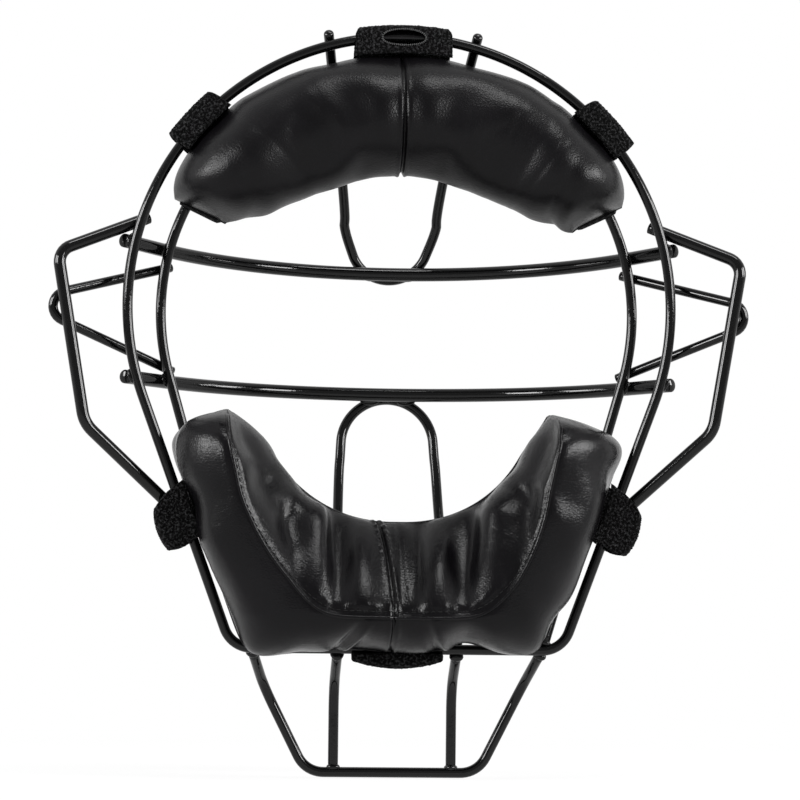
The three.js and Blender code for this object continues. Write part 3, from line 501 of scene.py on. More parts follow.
for word, bar in (("upper", UPPER_EYE), ("lower", LOWER_EYE)):
    half, lift, way = eye_line(bar)
    piece = wire(f"{word}_eye_bar_wire", both_sides(half), EYE_WIRE, (0, 0, 1), dome=0.28)
    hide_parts(f"{word}_eye_bar")
    spots = []
    for hoop, on_bar in ((REAR, half[1]), (FRONT, half[2])):
        contact = on_bar - lift * (EYE_WIRE / 2 + GAP / 2)
        run = hoop_way(hoop, bar["level"])
        spots.append((contact, half_axes((way, run, lift), EYE_BEAD)))
    beads(f"{word}_eye_bar_welds", mirrored_spots(spots))


# The brow bar: one wire bent to a tall U. Its legs run over the tops of both hoops and end in
# rounded knobs, and its round foot is welded on the front of the upper eye bar.
BROW = dict(top_half=34.4, cross_half=31.4, waist_half=22.9, waist_up=41.5, shoulder_half=21.8,
            shoulder_up=26.0, arch=18.5, sweep=math.radians(70), knob=4.5, bottom=20.4,
            bead=(2.9, 2.5, 1.4), foot_weld=(8.5, -2.4, 1.2))
U_BEAD = (4.5, 1.3, 2.0)


def top_level(hoop, x):
    """The hoop's top at a distance from the middle, by the circle's own formula."""
    return hoop["rise"] + math.sqrt(hoop["radius"] ** 2 - x ** 2)


def spline_through(points, steps):
    """A smooth curve through points: between two of them, the cubic whose end slopes are half
    the step from the point before to the point after."""
    points = np.asarray(points, float)
    at = np.linspace(0, len(points) - 1, steps + 1)
    i = np.minimum(at.astype(int), len(points) - 2)
    t = (at - i)[:, None]
    p0, p1 = points[np.maximum(i - 1, 0)], points[i]
    p2, p3 = points[i + 1], points[np.minimum(i + 2, len(points) - 1)]
    v0, v1 = (p2 - p0) / 2, (p3 - p1) / 2
    return ((2 * p1 - 2 * p2 + v0 + v1) * t ** 3 + (-3 * p1 + 3 * p2 - 2 * v0 - v1) * t ** 2
            + v0 * t + p1)


def flat_u(arch, sweep, leg, steps=60):
    """Half a U drawn flat: half width against length, an arc and then a curve up the leg."""
    turn = sweep * np.linspace(0, 1, 25)
    points = np.stack([arch * np.sin(turn), arch * (1 - np.cos(turn))], 1)
    run = spline_through([points[-1], *leg], steps)
    return np.concatenate([points, run[1:]])[::-1]


def side_arc(start, end, lift):
    """The arc in a side view from one point, where its normal is "lift", to another."""
    chord = end - start
    radius = -(chord @ chord) / (2 * (chord @ lift))
    centre = start - lift * radius
    turns = [math.atan2(p[1] - centre[1], p[0] - centre[0]) for p in (start, end)]
    return radius, turns[0], turns[1], centre


def brow_line():
    """The flat U laid over its side view: straight over the hoops, then one arc down."""
    tops = top_level(REAR, BROW["top_half"]), top_level(FRONT, BROW["cross_half"])
    slope = math.atan2(tops[0] - tops[1], FRONT["depth"] - REAR["depth"])
    lift = np.array([math.sin(slope), math.cos(slope)])
    way = np.array([math.cos(slope), -math.sin(slope)])
    turn = math.asin(BROW["cross_half"] / FRONT["radius"])
    stand = crossing([math.cos(turn), 0, -math.sin(turn)], [0, *way], (HOOP_WIRE, HOOP_WIRE),
                     np.array([0, *lift]))
    at_rear = np.array([REAR["depth"], tops[0]]) + lift * stand
    at_front = np.array([FRONT["depth"], tops[1]]) + lift * stand
    eye = eye_line(UPPER_EYE)[0][-1]
    clear = (EYE_WIRE + HOOP_WIRE) / 2 + GAP
    low = np.array([eye[1] + clear, BROW["bottom"]])
    radius, start, end, centre = side_arc(at_front, low, lift)
    for _ in range(4):
        low[0] = eye[1] + (clear - (low[1] - eye[2]) * math.sin(end)) / math.cos(end)
        radius, start, end, centre = side_arc(at_front, low, lift)
    bowed = radius * (start - end)
    total = bowed + np.linalg.norm(at_rear - at_front) + BROW["knob"]
    flat = flat_u(BROW["arch"], BROW["sweep"], [
        (BROW["shoulder_half"], BROW["shoulder_up"]), (BROW["waist_half"], BROW["waist_up"]),
        (BROW["top_half"], total)])
    length = flat[:, 1]
    turn = end + np.minimum(length, bowed) / radius
    past = np.maximum(length - bowed, 0)
    y = centre[0] + radius * np.cos(turn) - past * way[0]
    z = centre[1] + radius * np.sin(turn) - past * way[1]
    return np.stack([flat[:, 0], y, z], 1), lift, at_rear, at_front


brow_half, brow_lift, brow_rear, brow_front = brow_line()
brow_wire = wire("brow_bar_wire", both_sides(brow_half), HOOP_WIRE, (0.02, 0.75, 0.66), dome=0.8)
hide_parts("brow_bar")
brow_spots = [(brow_half[-1] + BROW["foot_weld"], np.diag(U_BEAD))]
lift, aside = np.array([0, *brow_lift]), np.array([1, 0, 0])
for at in (brow_front, brow_rear):
    near = brow_half[np.argmin(np.abs(brow_half[:, 1:] - at).sum(1))]
    brow_spots.insert(0, (near - lift * (HOOP_WIRE / 2 + GAP / 2), half_axes(
        (aside, np.cross(lift, aside), lift), BROW["bead"])))
beads("brow_bar_welds", mirrored_spots(brow_spots))


# The chin bar: a U the other way up. Its round head is welded on the front of the lower eye
# bar, and its legs sweep back and spread to the bottom bar, where they are butt welded.
CHIN_BAR = dict(foot_half=26.8, waist_half=23.5, waist_down=48.0, shoulder_half=22.4,
                shoulder_down=28.0, arch=22.0, sweep=math.radians(84), lean=math.radians(5),
                top=-36.9, head_weld=(8.5, -2.6, -1.0))
# It meets the bottom bar this far above its centre line, and the throat rods as far below.
WELD_ASIDE = 1.2


def chin_line():
    """The flat U laid over one arc that runs from the lower eye bar back to the bottom bar."""
    eye = eye_line(LOWER_EYE)[0][-1]
    high = np.array([eye[1] + (EYE_WIRE + HOOP_WIRE) / 2 + GAP, CHIN_BAR["top"]])
    foot = np.array([REAR["depth"], BAR_LEVEL + WELD_ASIDE])
    lift = np.array([math.cos(CHIN_BAR["lean"]), -math.sin(CHIN_BAR["lean"])])
    radius, start, end, centre = side_arc(high, foot, lift)
    total = radius * (start - end) - HOOP_WIRE / 2 - 2 * GAP
    flat = flat_u(CHIN_BAR["arch"], CHIN_BAR["sweep"], [
        (CHIN_BAR["shoulder_half"], CHIN_BAR["shoulder_down"]),
        (CHIN_BAR["waist_half"], CHIN_BAR["waist_down"]), (CHIN_BAR["foot_half"], total)])
    turn = start - flat[:, 1] / radius
    return np.stack([flat[:, 0], centre[0] + radius * np.cos(turn),
                     centre[1] + radius * np.sin(turn)], 1)


chin_half = chin_line()
chin_wire = wire("chin_bar_wire", both_sides(chin_half), HOOP_WIRE, (0.02, 0.83, -0.55),
                 dome=0.05)
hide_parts("chin_bar")
chin_way = unit(chin_half[1] - chin_half[0])
beads("chin_bar_welds", mirrored_spots([
    collar(chin_half[0], chin_way, radius=3.1, reach=1.8),
    (chin_half[-1] + CHIN_BAR["head_weld"], np.diag(U_BEAD))]))


# The ear guards: a heavier wire bent to a wing on each side and welded on the front of the
# rear hoop. A hairpin brace of thin wire holds each wing off the front hoop.
EAR_WIRE, BRACE_WIRE = 5.6, 4.4
EAR = dict(top_weld=38.0, top_overlap=4.0, top_reach=31.5, top_corner=21.8, top_bend=8.0,
           low_weld=-98.5, low_overlap=0.4, low_reach=18.4, low_corner=-55.5, low_bend=14.0,
           back=-8.0)
BRACE = dict(past_wing=6.0, bend=7.0, level=-2.6, upper=18.0, lower=-28.2, overlap=3.5)
EAR_BEAD, BRACE_BEAD, PASSING_BEAD = (3.4, 1.5, 2.6), (3.0, 1.4, 2.4), (2.6, 1.3, 2.4)


def ear_end(level, overlap, corner):
    """Where the wing is welded on the rear hoop, just clear of it, and its end beyond that."""
    weld = np.array([half_width(REAR, level), REAR["depth"], level])
    lift = np.array([0.0, 1.0, 0.0])
    weld = weld + lift * crossing(hoop_way(REAR, level), unit(weld - corner),
                                  (HOOP_WIRE, EAR_WIRE), lift)
    return weld + unit(weld - corner) * overlap, weld


def ear_line():
    """The wing: from the upper weld straight to its top corner, down to its low corner and
    back to the lower weld, with a bend at both corners."""
    top = np.array([REAR["radius"] + EAR["top_reach"], EAR["back"], EAR["top_corner"]])
    low = np.array([REAR["radius"] + EAR["low_reach"], EAR["back"], EAR["low_corner"]])
    top_end, top_weld = ear_end(EAR["top_weld"], EAR["top_overlap"], top)
    low_end, low_weld = ear_end(EAR["low_weld"], EAR["low_overlap"], low)
    upper = bent([top_end, top, low], EAR["top_bend"])
    lower = bent([top, low, low_end], EAR["low_bend"])
    return np.concatenate([upper[:-1], lower[1:]]), (top_weld, low_weld)


def wing_half(z):
    """How far out the wing's upright run lies at a level: evenly between its two corners."""
    share = (EAR["top_corner"] - z) / (EAR["top_corner"] - EAR["low_corner"])
    return REAR["radius"] + EAR["top_reach"] + (EAR["low_reach"] - EAR["top_reach"]) * share


def brace_line():
    """The hairpin: an arc round its centre, and a straight leg from it to each weld."""
    depth = EAR["back"] + (EAR_WIRE + BRACE_WIRE) / 2 + GAP
    end = wing_half(BRACE["level"]) + BRACE["past_wing"]
    centre = np.array([end - BRACE["bend"], depth, BRACE["level"]])
    welds, turns = [], []
    for level, sign in ((BRACE["upper"], -1), (BRACE["lower"], 1)):
        weld = np.array([half_width(FRONT, level), FRONT["depth"], level])
        lift = np.array([0.0, 1.0, 0.0])
        weld = weld + lift * crossing(hoop_way(FRONT, level), unit(centre - weld),
                                      (HOOP_WIRE, BRACE_WIRE), lift)
        reach = math.hypot(weld[0] - centre[0], weld[2] - centre[2])
        aim = math.atan2(weld[2] - centre[2], weld[0] - centre[0])
        turns.append(aim + sign * math.acos(BRACE["bend"] / reach))
        welds.append(weld)
    turn = np.linspace(turns[0], turns[1], 33)
    arc = centre + BRACE["bend"] * np.stack([np.cos(turn), 0 * turn, np.sin(turn)], 1)
    past = [w + unit(w - leave) * BRACE["overlap"] for w, leave in zip(welds, (arc[0], arc[-1]))]
    return np.concatenate([[past[0]], arc, [past[1]]]), welds


def over_wing(leg, bend):
    """Where a brace passes over the wing's upright run: of even points on its leg and those of
    its bend, on the leg's side of the middle, the one that lies as far out as the wing."""
    share = np.linspace(0, 1, 400)[:, None]
    run = np.concatenate([leg[0] * (1 - share) + leg[1] * share, bend])
    run = run[(run[:, 2] - BRACE["level"]) * (leg[0][2] - BRACE["level"]) >= 0]
    return run[np.argmin(np.abs(run[:, 0] - wing_half(run[:, 2])))]


ear_half, ear_welds = ear_line()
brace_half, brace_welds = brace_line()
for word, sign in SIDES:
    flip = np.array([sign, 1, 1])
    piece = wire(f"ear_guard_{word}_wire", ear_half * flip, EAR_WIRE, (0, 1, 0), dome=0.3)
    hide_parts(f"ear_guard_{word}")
    piece = wire(f"ear_brace_{word}_wire", brace_half * flip, BRACE_WIRE, (0, 1, 0), dome=0.3)
    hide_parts(f"ear_brace_{word}")
ear_spots, ahead = [], np.array([0, 1, 0])
for hoop, welds, levels, thick, bead in (
        (REAR, ear_welds, (EAR["top_weld"], EAR["low_weld"]), EAR_WIRE, EAR_BEAD),
        (FRONT, brace_welds, (BRACE["upper"], BRACE["lower"]), BRACE_WIRE, BRACE_BEAD)):
    for weld, level in zip(welds, levels):
        run = hoop_way(hoop, level)
        ear_spots.append((weld - ahead * (thick / 2 + GAP / 2),
                          half_axes((run, ahead, np.cross(run, ahead)), bead)))
for leg in (brace_half[:2], brace_half[-2:][::-1]):
    spot = over_wing(leg, brace_half[1:-1]) - ahead * (BRACE_WIRE / 2 + GAP / 2)
    ear_spots.append((spot, np.diag(PASSING_BEAD)))
beads("ear_guard_welds", mirrored_spots(ear_spots))


# The throat guard: a wire loop with two upright rods, butt welded under the bottom bar. It
# leans forward at once, and then hangs straight down in front of the throat.
THROAT = dict(top_half=68.0, bottom_half=39.5, tall=56.4, depth=25.0, bend_down=17.8,
              corner=13.0, lean=20.0, rod_half=27.0)
THROAT_LOW, THROAT_BEND = BAR_LEVEL - THROAT["tall"], BAR_LEVEL - THROAT["bend_down"]


def throat_half(z):
    """Half the loop's width at a level: evenly between its foot and its top."""
    share = (z - THROAT_LOW) / THROAT["tall"]
    return THROAT["bottom_half"] + (THROAT["top_half"] - THROAT["bottom_half"]) * share


def throat_lines():
    """The loop and one rod. Both leave the bottom bar leaning forward, bend to hang straight,
    and the loop turns in at two corners to a level foot, on which the rod ends."""
    lean = np.array([throat_half(THROAT_BEND), THROAT["depth"], THROAT_BEND])
    corner = np.array([THROAT["bottom_half"], THROAT["depth"], THROAT_LOW])
    side = bent([butt_on_bar(BAR_END, lean, 0), lean, corner], THROAT["lean"])
    floor = bent([lean, corner, corner * [-1, 1, 1]], THROAT["corner"])[1:-1]
    rod_lean = np.array([THROAT["rod_half"], THROAT["depth"], THROAT_BEND])
    rod_end = np.array([THROAT["rod_half"], THROAT["depth"], THROAT_LOW + HOOP_WIRE / 2 + GAP])
    rod_top = butt_on_bar(THROAT["rod_half"], rod_lean, -WELD_ASIDE)
    return (both_sides(np.concatenate([side[:-1], floor])),
            bent([rod_top, rod_lean, rod_end], THROAT["lean"]))


loop_line, rod_line = throat_lines()
loop_wire = wire("throat_guard_loop_wire", loop_line, HOOP_WIRE, (0, 1, 0), dome=0.05)
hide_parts("throat_guard_loop")
for word, sign in SIDES:
    piece = wire(f"throat_rod_{word}_wire", rod_line * [sign, 1, 1], HOOP_WIRE, (1, 0, 0),
                 dome=0.05)
    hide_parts(f"throat_rod_{word}")
loop_way, rod_way = unit(loop_line[1] - loop_line[0]), unit(rod_line[1] - rod_line[0])
beads("throat_guard_welds", mirrored_spots([
    collar(loop_line[0], loop_way, radius=3.1, reach=1.8),
    collar(rod_line[0], rod_way, radius=3.2, reach=2.0),
    collar(rod_line[-1], np.array([0, 0, 1.0]), radius=3.1, reach=1.7)]))


# The forehead pad: foam in a cover of black grained vinyl, cut in two halves, sewn together
# down the middle, and sewn all round to a flat back panel that lies on the front hoop.
PAD_REST = FRONT["depth"] - HOOP_WIRE / 2 - GAP
BACK_UP = 1.7
# A pad's corners are pairs of how far the rim is drawn in at the end and the power by which
# that sets in, and its rises are the two powers of the skin's section. The last two rows here
# are the forehead pad's own: its outer rim's gap to the hoop, how much of that closes and at
# which angle, how far inside the hoop its inner rim lies, how far that moves out at the ends.
FOREHEAD = dict(
    centre=0.0, up=1, end=math.radians(64.5), end_round=math.radians(17),
    outer_corner=(0.3, 5), inner_corner=(0.3, 5), seam_dip=2.5, seam_wide=7.0, drawn=6.8,
    drawn_power=12, slant=0.0, side_rise=(2.0, 0.58), face_rise=(2.2, 0.5), tall=39.0,
    crown_gap=4.2, gap_closed=3.5, closed_at=math.radians(38), inside=63.6, inside_less=22.0)


def vinyl(name, rough_low, rough_high):
    """Soft black vinyl: a pebbled grain of small cells, finer hair creases over it, gloss that
    comes and goes with handling, and a trace of brown and blue in the black."""
    black = np.array([0.0014, 0.0012, 0.0016])
    material, nodes, links, shader, place = plain_material(name, 0.15)
    cloud = add_node(nodes, "TexNoise", {"Scale": 28, "Detail": 5})
    tint = add_node(nodes, "ValToRGB")
    for stop, position, share in zip(tint.color_ramp.elements, (0.35, 0.7), (0.7, 1.35)):
        stop.position, stop.color = position, (*(black * share), 1)
    rough = add_node(nodes, "MapRange", {"From Min": 0.3, "From Max": 0.7,
                                         "To Min": rough_low, "To Max": rough_high})
    cells = add_node(nodes, "TexVoronoi", {"Scale": 780}, feature="DISTANCE_TO_EDGE")
    hair = add_node(nodes, "TexNoise", {"Scale": 260, "Detail": 6, "Distortion": 1.2})
    fine = add_node(nodes, "Bump", {"Strength": 0.7, "Distance": 0.00017})
    coarse = add_node(nodes, "Bump", {"Strength": 0.25, "Distance": 0.0004})
    for texture in (cloud, cells, hair):
        links.new(place, texture.inputs["Vector"])
    links.new(cloud.outputs["Fac"], tint.inputs["Fac"])
    links.new(tint.outputs["Color"], shader.inputs["Base Color"])
    links.new(cloud.outputs["Fac"], rough.inputs["Value"])
    links.new(rough.outputs["Result"], shader.inputs["Roughness"])
    links.new(hair.outputs["Fac"], coarse.inputs["Height"])
    links.new(cells.outputs["Distance"], fine.inputs["Height"])
    links.new(coarse.outputs["Normal"], fine.inputs["Normal"])
    links.new(fine.outputs["Normal"], shader.inputs["Normal"])
    return material


FOREHEAD_VINYL = vinyl("forehead_vinyl", 0.28, 0.36)


def forehead_outer(angle):
    """The outer rim's radius: inside the hoop by a gap that closes with the angle's square."""
    share = np.minimum(np.abs(angle) / FOREHEAD["closed_at"], 1)
    return (REAR["radius"] - HOOP_WIRE / 2 - FOREHEAD["crown_gap"]
            + FOREHEAD["gap_closed"] * share ** 2)


def forehead_inner(angle):
    """The inner rim's radius, which grows towards the ends by a power of the angle."""
    share = np.abs(angle) / FOREHEAD["end"]
    return REAR["radius"] - FOREHEAD["inside"] + FOREHEAD["inside_less"] * share ** 3.2


def forehead_ridge(angle):
    """The pad's highest line runs half way between its rims."""
    return (forehead_outer(angle) + forehead_inner(angle)) / 2


def forehead_base(z):
    """The skin starts at the inner face of the back panel, which lies on the front hoop."""
    return PAD_REST - BACK_UP + 0 * z


def forehead_height(angle):
    """The pad stands equally high all along."""
    return FOREHEAD["tall"] + 0 * angle


FOREHEAD.update(outer=forehead_outer, inner=forehead_inner, ridge=forehead_ridge,
                base=forehead_base, height=forehead_height)


def pad_points(pad, along, across, on_base=False):
    """The pad's skin. "along" runs from -1 over the centre seam at 0 to 1, and "across" from 0
    at the outer rim over 1 at the ridge to 2 at the inner rim. In plan a point lies at an angle
    and a radius about the pad's centre. The radius goes from ridge to rim as a cosine of
    "across", and the height as a power of one minus a power of that cosine. Towards the two
    ends height and width fall away as powers of the share of the end's round that is left."""
    share = np.abs(along)
    late = np.maximum(0, 1 - (1 - share) * pad["end"] / pad["end_round"])
    angle = share * pad["end"] - pad["slant"] * np.maximum(0, 1 - across) * late ** 2
    tall = np.maximum(0, 1 - late ** 2.8) ** (1 / 2.4)
    turn = np.sign(along) * angle
    ridge = pad["ridge"](turn)
    height = (pad["height"](angle)
              - pad["seam_dip"] * np.exp(-(angle * ridge / pad["seam_wide"]) ** 2)) * tall
    on_side = across < 1
    rim = np.where(on_side, pad["outer"](turn), pad["inner"](turn))
    wide = np.where(on_side, 1 - pad["outer_corner"][0] * late ** pad["outer_corner"][1],
                    1 - pad["inner_corner"][0] * late ** pad["inner_corner"][1])
    spread = np.cos(np.minimum(across, 2 - across) * math.pi / 2)
    fullness = np.where(on_side, pad["side_rise"][0], pad["face_rise"][0])
    roundness = np.where(on_side, pad["side_rise"][1], pad["face_rise"][1])
    rise = 0 * spread if on_base else np.maximum(0, 1 - spread ** fullness) ** roundness
    drawn = pad["drawn"] * (1 - rise) ** pad["drawn_power"] * np.sign(rim - ridge) * spread
    radius = ridge + ((rim - ridge) * spread - drawn) * wide
    z = pad["centre"] + pad["up"] * radius * np.cos(angle)
    return np.stack([np.sign(along) * radius * np.sin(angle),
                     pad["base"](z) - rise * height, z], -1)


def closer_at_ends(count):
    """Numbers from -1 to 1, each the mean of an even step and of that step's sine, so they
    stand closer together towards both ends."""
    even = np.linspace(-1, 1, count)
    return (even + np.sign(even) * np.sin(np.abs(even) * math.pi / 2)) / 2


def pad_grid(pad, rows, cols):
    """The whole pad as rows of closed sections: the skin from rim to rim, then the back panel
    from the inner rim to the outer."""
    along, across = np.meshgrid(closer_at_ends(2 * rows + 1), np.linspace(0, 2, cols + 1),
                                indexing="ij")
    back = pad_points(pad, along, across[:, ::-1], on_base=True)
    back[..., 1] += BACK_UP
    return np.concatenate([pad_points(pad, along, across), back], 1), along, across


def grid_faces(rows, cols):
    """Four-cornered faces of rows of closed sections, and the two end sections' own faces."""
    grid = np.arange(rows * cols).reshape(rows, cols)
    faces = ring_faces(grid[:-1], grid[1:])
    half = cols // 2
    for row, turn in ((grid[0], 1), (grid[-1], -1)):
        front, back = row[:half], row[half:][::-1]
        cap = np.stack([front[:-1], back[:-1], back[1:], front[1:]], -1)
        faces += cap[:, ::turn].tolist()
    return faces


def section_normals(points):
    """Outward directions of rows of closed sections, from the cross product of both runs."""
    along = np.gradient(points, axis=0)
    across = np.roll(points, -1, 1) - np.roll(points, 1, 1)
    normal = np.cross(across, along)
    size = np.linalg.norm(normal, axis=-1, keepdims=True)
    normal = normal / np.maximum(size, 1e-9)
    middle = points.mean(1, keepdims=True)
    turn = np.sign(np.sum(normal * (points - middle)))
    return normal * turn


def cloth_swell(points, held, cap, frames=20, passes=4):
    """How far the foam pushes the cover out. The coarse pad is run as cloth under pressure with
    its seams and back panel held. Each point's move is then averaged with its neighbours',
    twice its own share, and made no longer than the cap."""
    rows, cols = points.shape[:2]
    pillow = make_piece("swelling_cover", points, grid_faces(rows, cols), COAT)
    finish_mesh(pillow, merge=False)
    sewn = pillow.vertex_groups.new(name="sewn")
    sewn.add(np.flatnonzero(held.ravel()).tolist(), 1.0, "REPLACE")
    cloth = pillow.modifiers.new("cover", "CLOTH")
    cloth.settings.quality = 6
    cloth.settings.vertex_group_mass = "sewn"
    cloth.settings.use_pressure = True
    cloth.settings.uniform_pressure_force = 4
    cloth.settings.shrink_min = -0.02
    cloth.settings.bending_stiffness = 5
    cloth.settings.effector_weights.gravity = 0
    cloth.point_cache.frame_start, cloth.point_cache.frame_end = 1, frames
    scene = bpy.context.scene
    for number in range(1, frames + 1):
        scene.frame_set(number)
    shown = pillow.evaluated_get(bpy.context.evaluated_depsgraph_get()).data
    after = np.empty(len(shown.vertices) * 3)
    shown.vertices.foreach_get("co", after)
    scene.frame_set(1)
    bpy.data.objects.remove(pillow)
    move = after.reshape(rows, cols, 3) / MM - points
    for _ in range(passes):
        move[1:-1] = (move[:-2] + 2 * move[1:-1] + move[2:]) / 4
        move = (np.roll(move, 1, 1) + 2 * move + np.roll(move, -1, 1)) / 4
    move[held] = 0
    size = np.linalg.norm(move, axis=-1, keepdims=True)
    return move * np.minimum(1, cap / np.maximum(size, 1e-9))


def cubic_shares(few, many):
    """A table that reads a row of few values at many even places. Each place takes the cubic
    through its four neighbours, and an end value is its own neighbour."""
    at = np.arange(many) * ((few - 1) / (many - 1))
    first = np.minimum(at.astype(int), few - 2)
    t = at - first
    shares = [-0.5 * t ** 3 + t ** 2 - 0.5 * t, 1.5 * t ** 3 - 2.5 * t ** 2 + 1,
              -1.5 * t ** 3 + 2 * t ** 2 + 0.5 * t, 0.5 * t ** 3 - 0.5 * t ** 2]
    table = np.zeros((many, few))
    for step, part in zip((-1, 0, 1, 2), shares):
        np.add.at(table, (np.arange(many), np.clip(first + step, 0, few - 1)), part)
    return table


def finer(coarse, rows, cols):
    """A field on a coarse grid, read at the places of a finer one by cubics along each way.
    The skin and the back panel are read apart."""
    half = coarse.shape[1] // 2
    along = cubic_shares(coarse.shape[0], rows)
    across = cubic_shares(half, cols // 2)
    parts = [np.einsum("ij,jkl,mk->iml", along, coarse[:, part], across)
             for part in (slice(0, half), slice(half, None))]
    return np.concatenate(parts, 1)


def cushion(name, pad, coarse, fine, held_rule, folds, cap, vinyl_used):
    """A pad's cover: the formula's surface, plus the cloth's swelling, plus folds and seams
    laid on along the surface's own normals. Returns it, its skin's points and normals."""
    low, low_along, low_across = pad_grid(pad, *coarse)
    cols = low.shape[1] // 2
    held = np.ones(low.shape[:2], bool)
    held[:, :cols] = held_rule(low_along, low_across, low[:, :cols])
    held[:2], held[-2:] = True, True
    move = cloth_swell(low, held, cap)
    points, along, across = pad_grid(pad, *fine)
    points = points + finer(move, *points.shape[:2])
    half = points.shape[1] // 2
    normals = section_normals(points)[:, :half]
    skin = points[:, :half]
    skin += normals * folds(along, across, skin)[..., None]
    piece = make_piece(name, points, grid_faces(*points.shape[:2]), vinyl_used)
    finish_mesh(piece)
    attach(piece, "mask")
    return piece, skin, normals


def bump_at(distance, width):
    """A bell: 1 at no distance, and e to the minus square of the distance in widths."""
    return np.exp(-(distance / width) ** 2)


def forehead_held(along, across, points):
    """The cover is sewn down along both rims and along the centre seam."""
    return (across <= 0.02) | (across >= 1.98) | (np.abs(points[..., 0]) < 0.5)


# A tuck or a crease has a place along the pad at its ridge, a lean towards the inner rim, a
# height out of the surface and a width, all but the height in shares of the pad's half length.
FOREHEAD_TUCKS = ((0.80, 0.16, -1.5, 0.028), (0.87, 0.13, 1.6, 0.035), (0.72, 0.14, 0.9, 0.05),
                  (-0.80, -0.15, -0.9, 0.035), (-0.72, -0.15, 0.6, 0.05))
FOREHEAD_CREASES = ((0.62, 0.09, -0.2, 0.018), (0.50, 0.10, -0.15, 0.016),
                    (0.70, 0.06, -0.3, 0.015), (-0.62, 0.05, -0.2, 0.02),
                    (0.30, 0.05, -0.15, 0.018), (-0.35, 0.05, -0.15, 0.02))


def forehead_folds(along, across, points):
    """The centre seam's groove with its two raised lips, deep tucks at the lower corners that
    run up the pad and die away, shallow creases that fan out, and two slow waves."""
    seam = points[..., 0] + 1.0 - 0.5 * across
    lift = 0.6 * bump_at(np.abs(seam) - 1.6, 0.8) - 1.6 * bump_at(seam, 0.6)
    low = np.clip((across - 0.5) / 1.3, 0, 1) ** 1.3 * np.clip((2 - across) / 0.12, 0, 1)
    inside = np.sin(np.clip(across / 2, 0, 1) * math.pi) ** 0.6
    for table, share in ((FOREHEAD_TUCKS, low), (FOREHEAD_CREASES, inside)):
        for middle, lean, size, width in table:
            lift = lift + size * bump_at(along - middle - lean * (across - 1), width) * share
    broad = 0.3 * np.sin(along * 17 + 1.2 * across) + 0.2 * np.sin(along * 31 - 2 * across + 1)
    return lift + broad * inside


forehead, _, _ = cushion(
    "forehead_pad_cushion", FOREHEAD, coarse=(44, 24), fine=(160, 100),
    held_rule=forehead_held, folds=forehead_folds, cap=2.2, vinyl_used=FOREHEAD_VINYL)
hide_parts("forehead_foam", "forehead_back_panel", "forehead_cover_left",
            "forehead_cover_right")


# The pad's sewn edge: the cover and the back panel are stitched flat together, and their cut
# edges stand out as a thin lip all round, with one line of black lockstitch on it.
def thread(name, dark, light):
    """Twisted sewing thread: a fine mottle between two greys."""
    material, nodes, links, shader, place = plain_material(name, 0.12)
    shader.inputs["Roughness"].default_value = 0.6
    twist = add_node(nodes, "TexNoise", {"Scale": 2600})
    tint = add_node(nodes, "ValToRGB")
    for stop, grey in zip(tint.color_ramp.elements, (dark, light)):
        stop.color = (grey, grey, grey, 1)
    links.new(place, twist.inputs["Vector"])
    links.new(twist.outputs["Fac"], tint.inputs["Fac"])
    links.new(tint.outputs["Color"], shader.inputs["Base Color"])
    return material


THREAD = thread("black_thread", 0.002, 0.01)


def squared_off(wave, power):
    """A sine or cosine raised to a power, with its sign kept: below 1 a circle gets squarer."""
    return np.sign(wave) * np.abs(wave) ** power


def edge_lip(name, pad, proud, vinyl_used):
    """A flat strip with rounded edges round the pad's outline: the outline's points, moved out
    along their own normals in plan, as a thin closed section that stands "proud" of them."""
    half_wide, half_thick, sides = 1.3, 0.85, 14
    along = closer_at_ends(241)
    outer = pad_points(pad, along, 0 * along, on_base=True)
    inner = pad_points(pad, along, 0 * along + 2, on_base=True)
    cross = np.linspace(0, 2, 31)[1:-1]
    right = pad_points(pad, 0 * cross + 1, cross, on_base=True)
    left = pad_points(pad, 0 * cross - 1, cross[::-1], on_base=True)
    line = np.concatenate([outer, right, inner[::-1], left])
    line = even_steps(np.concatenate([line, line[:1]]), 1.6)[:-1]
    way = np.roll(line, -1, 0) - np.roll(line, 1, 0)
    way = sum(np.roll(way, k, 0) for k in range(-3, 4))
    out = unit(np.cross(way, [0, 1, 0]))
    if np.sum(out * (line - line.mean(0))) < 0:
        out = -out
    turn = np.linspace(0, 2 * math.pi, sides, endpoint=False)
    reach = proud - half_wide + half_wide * squared_off(np.cos(turn), 0.6)
    thick = BACK_UP / 2 + half_thick * squared_off(np.sin(turn), 0.6)
    number = np.arange(len(line))
    ripple = 0.12 * np.sin(number * 0.9) + 0.1 * np.sin(number * 0.37)
    points = (line[:, None] + out[:, None] * reach[None, :, None]
              + np.array([0, 1, 0]) * (thick[None, :, None] + ripple[:, None, None]))
    grid = np.arange(len(line) * sides).reshape(-1, sides)
    lip = make_piece(name, points, ring_faces(grid, np.roll(grid, -1, 0)), vinyl_used)
    finish_mesh(lip)
    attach(lip, "mask")
    return line, out


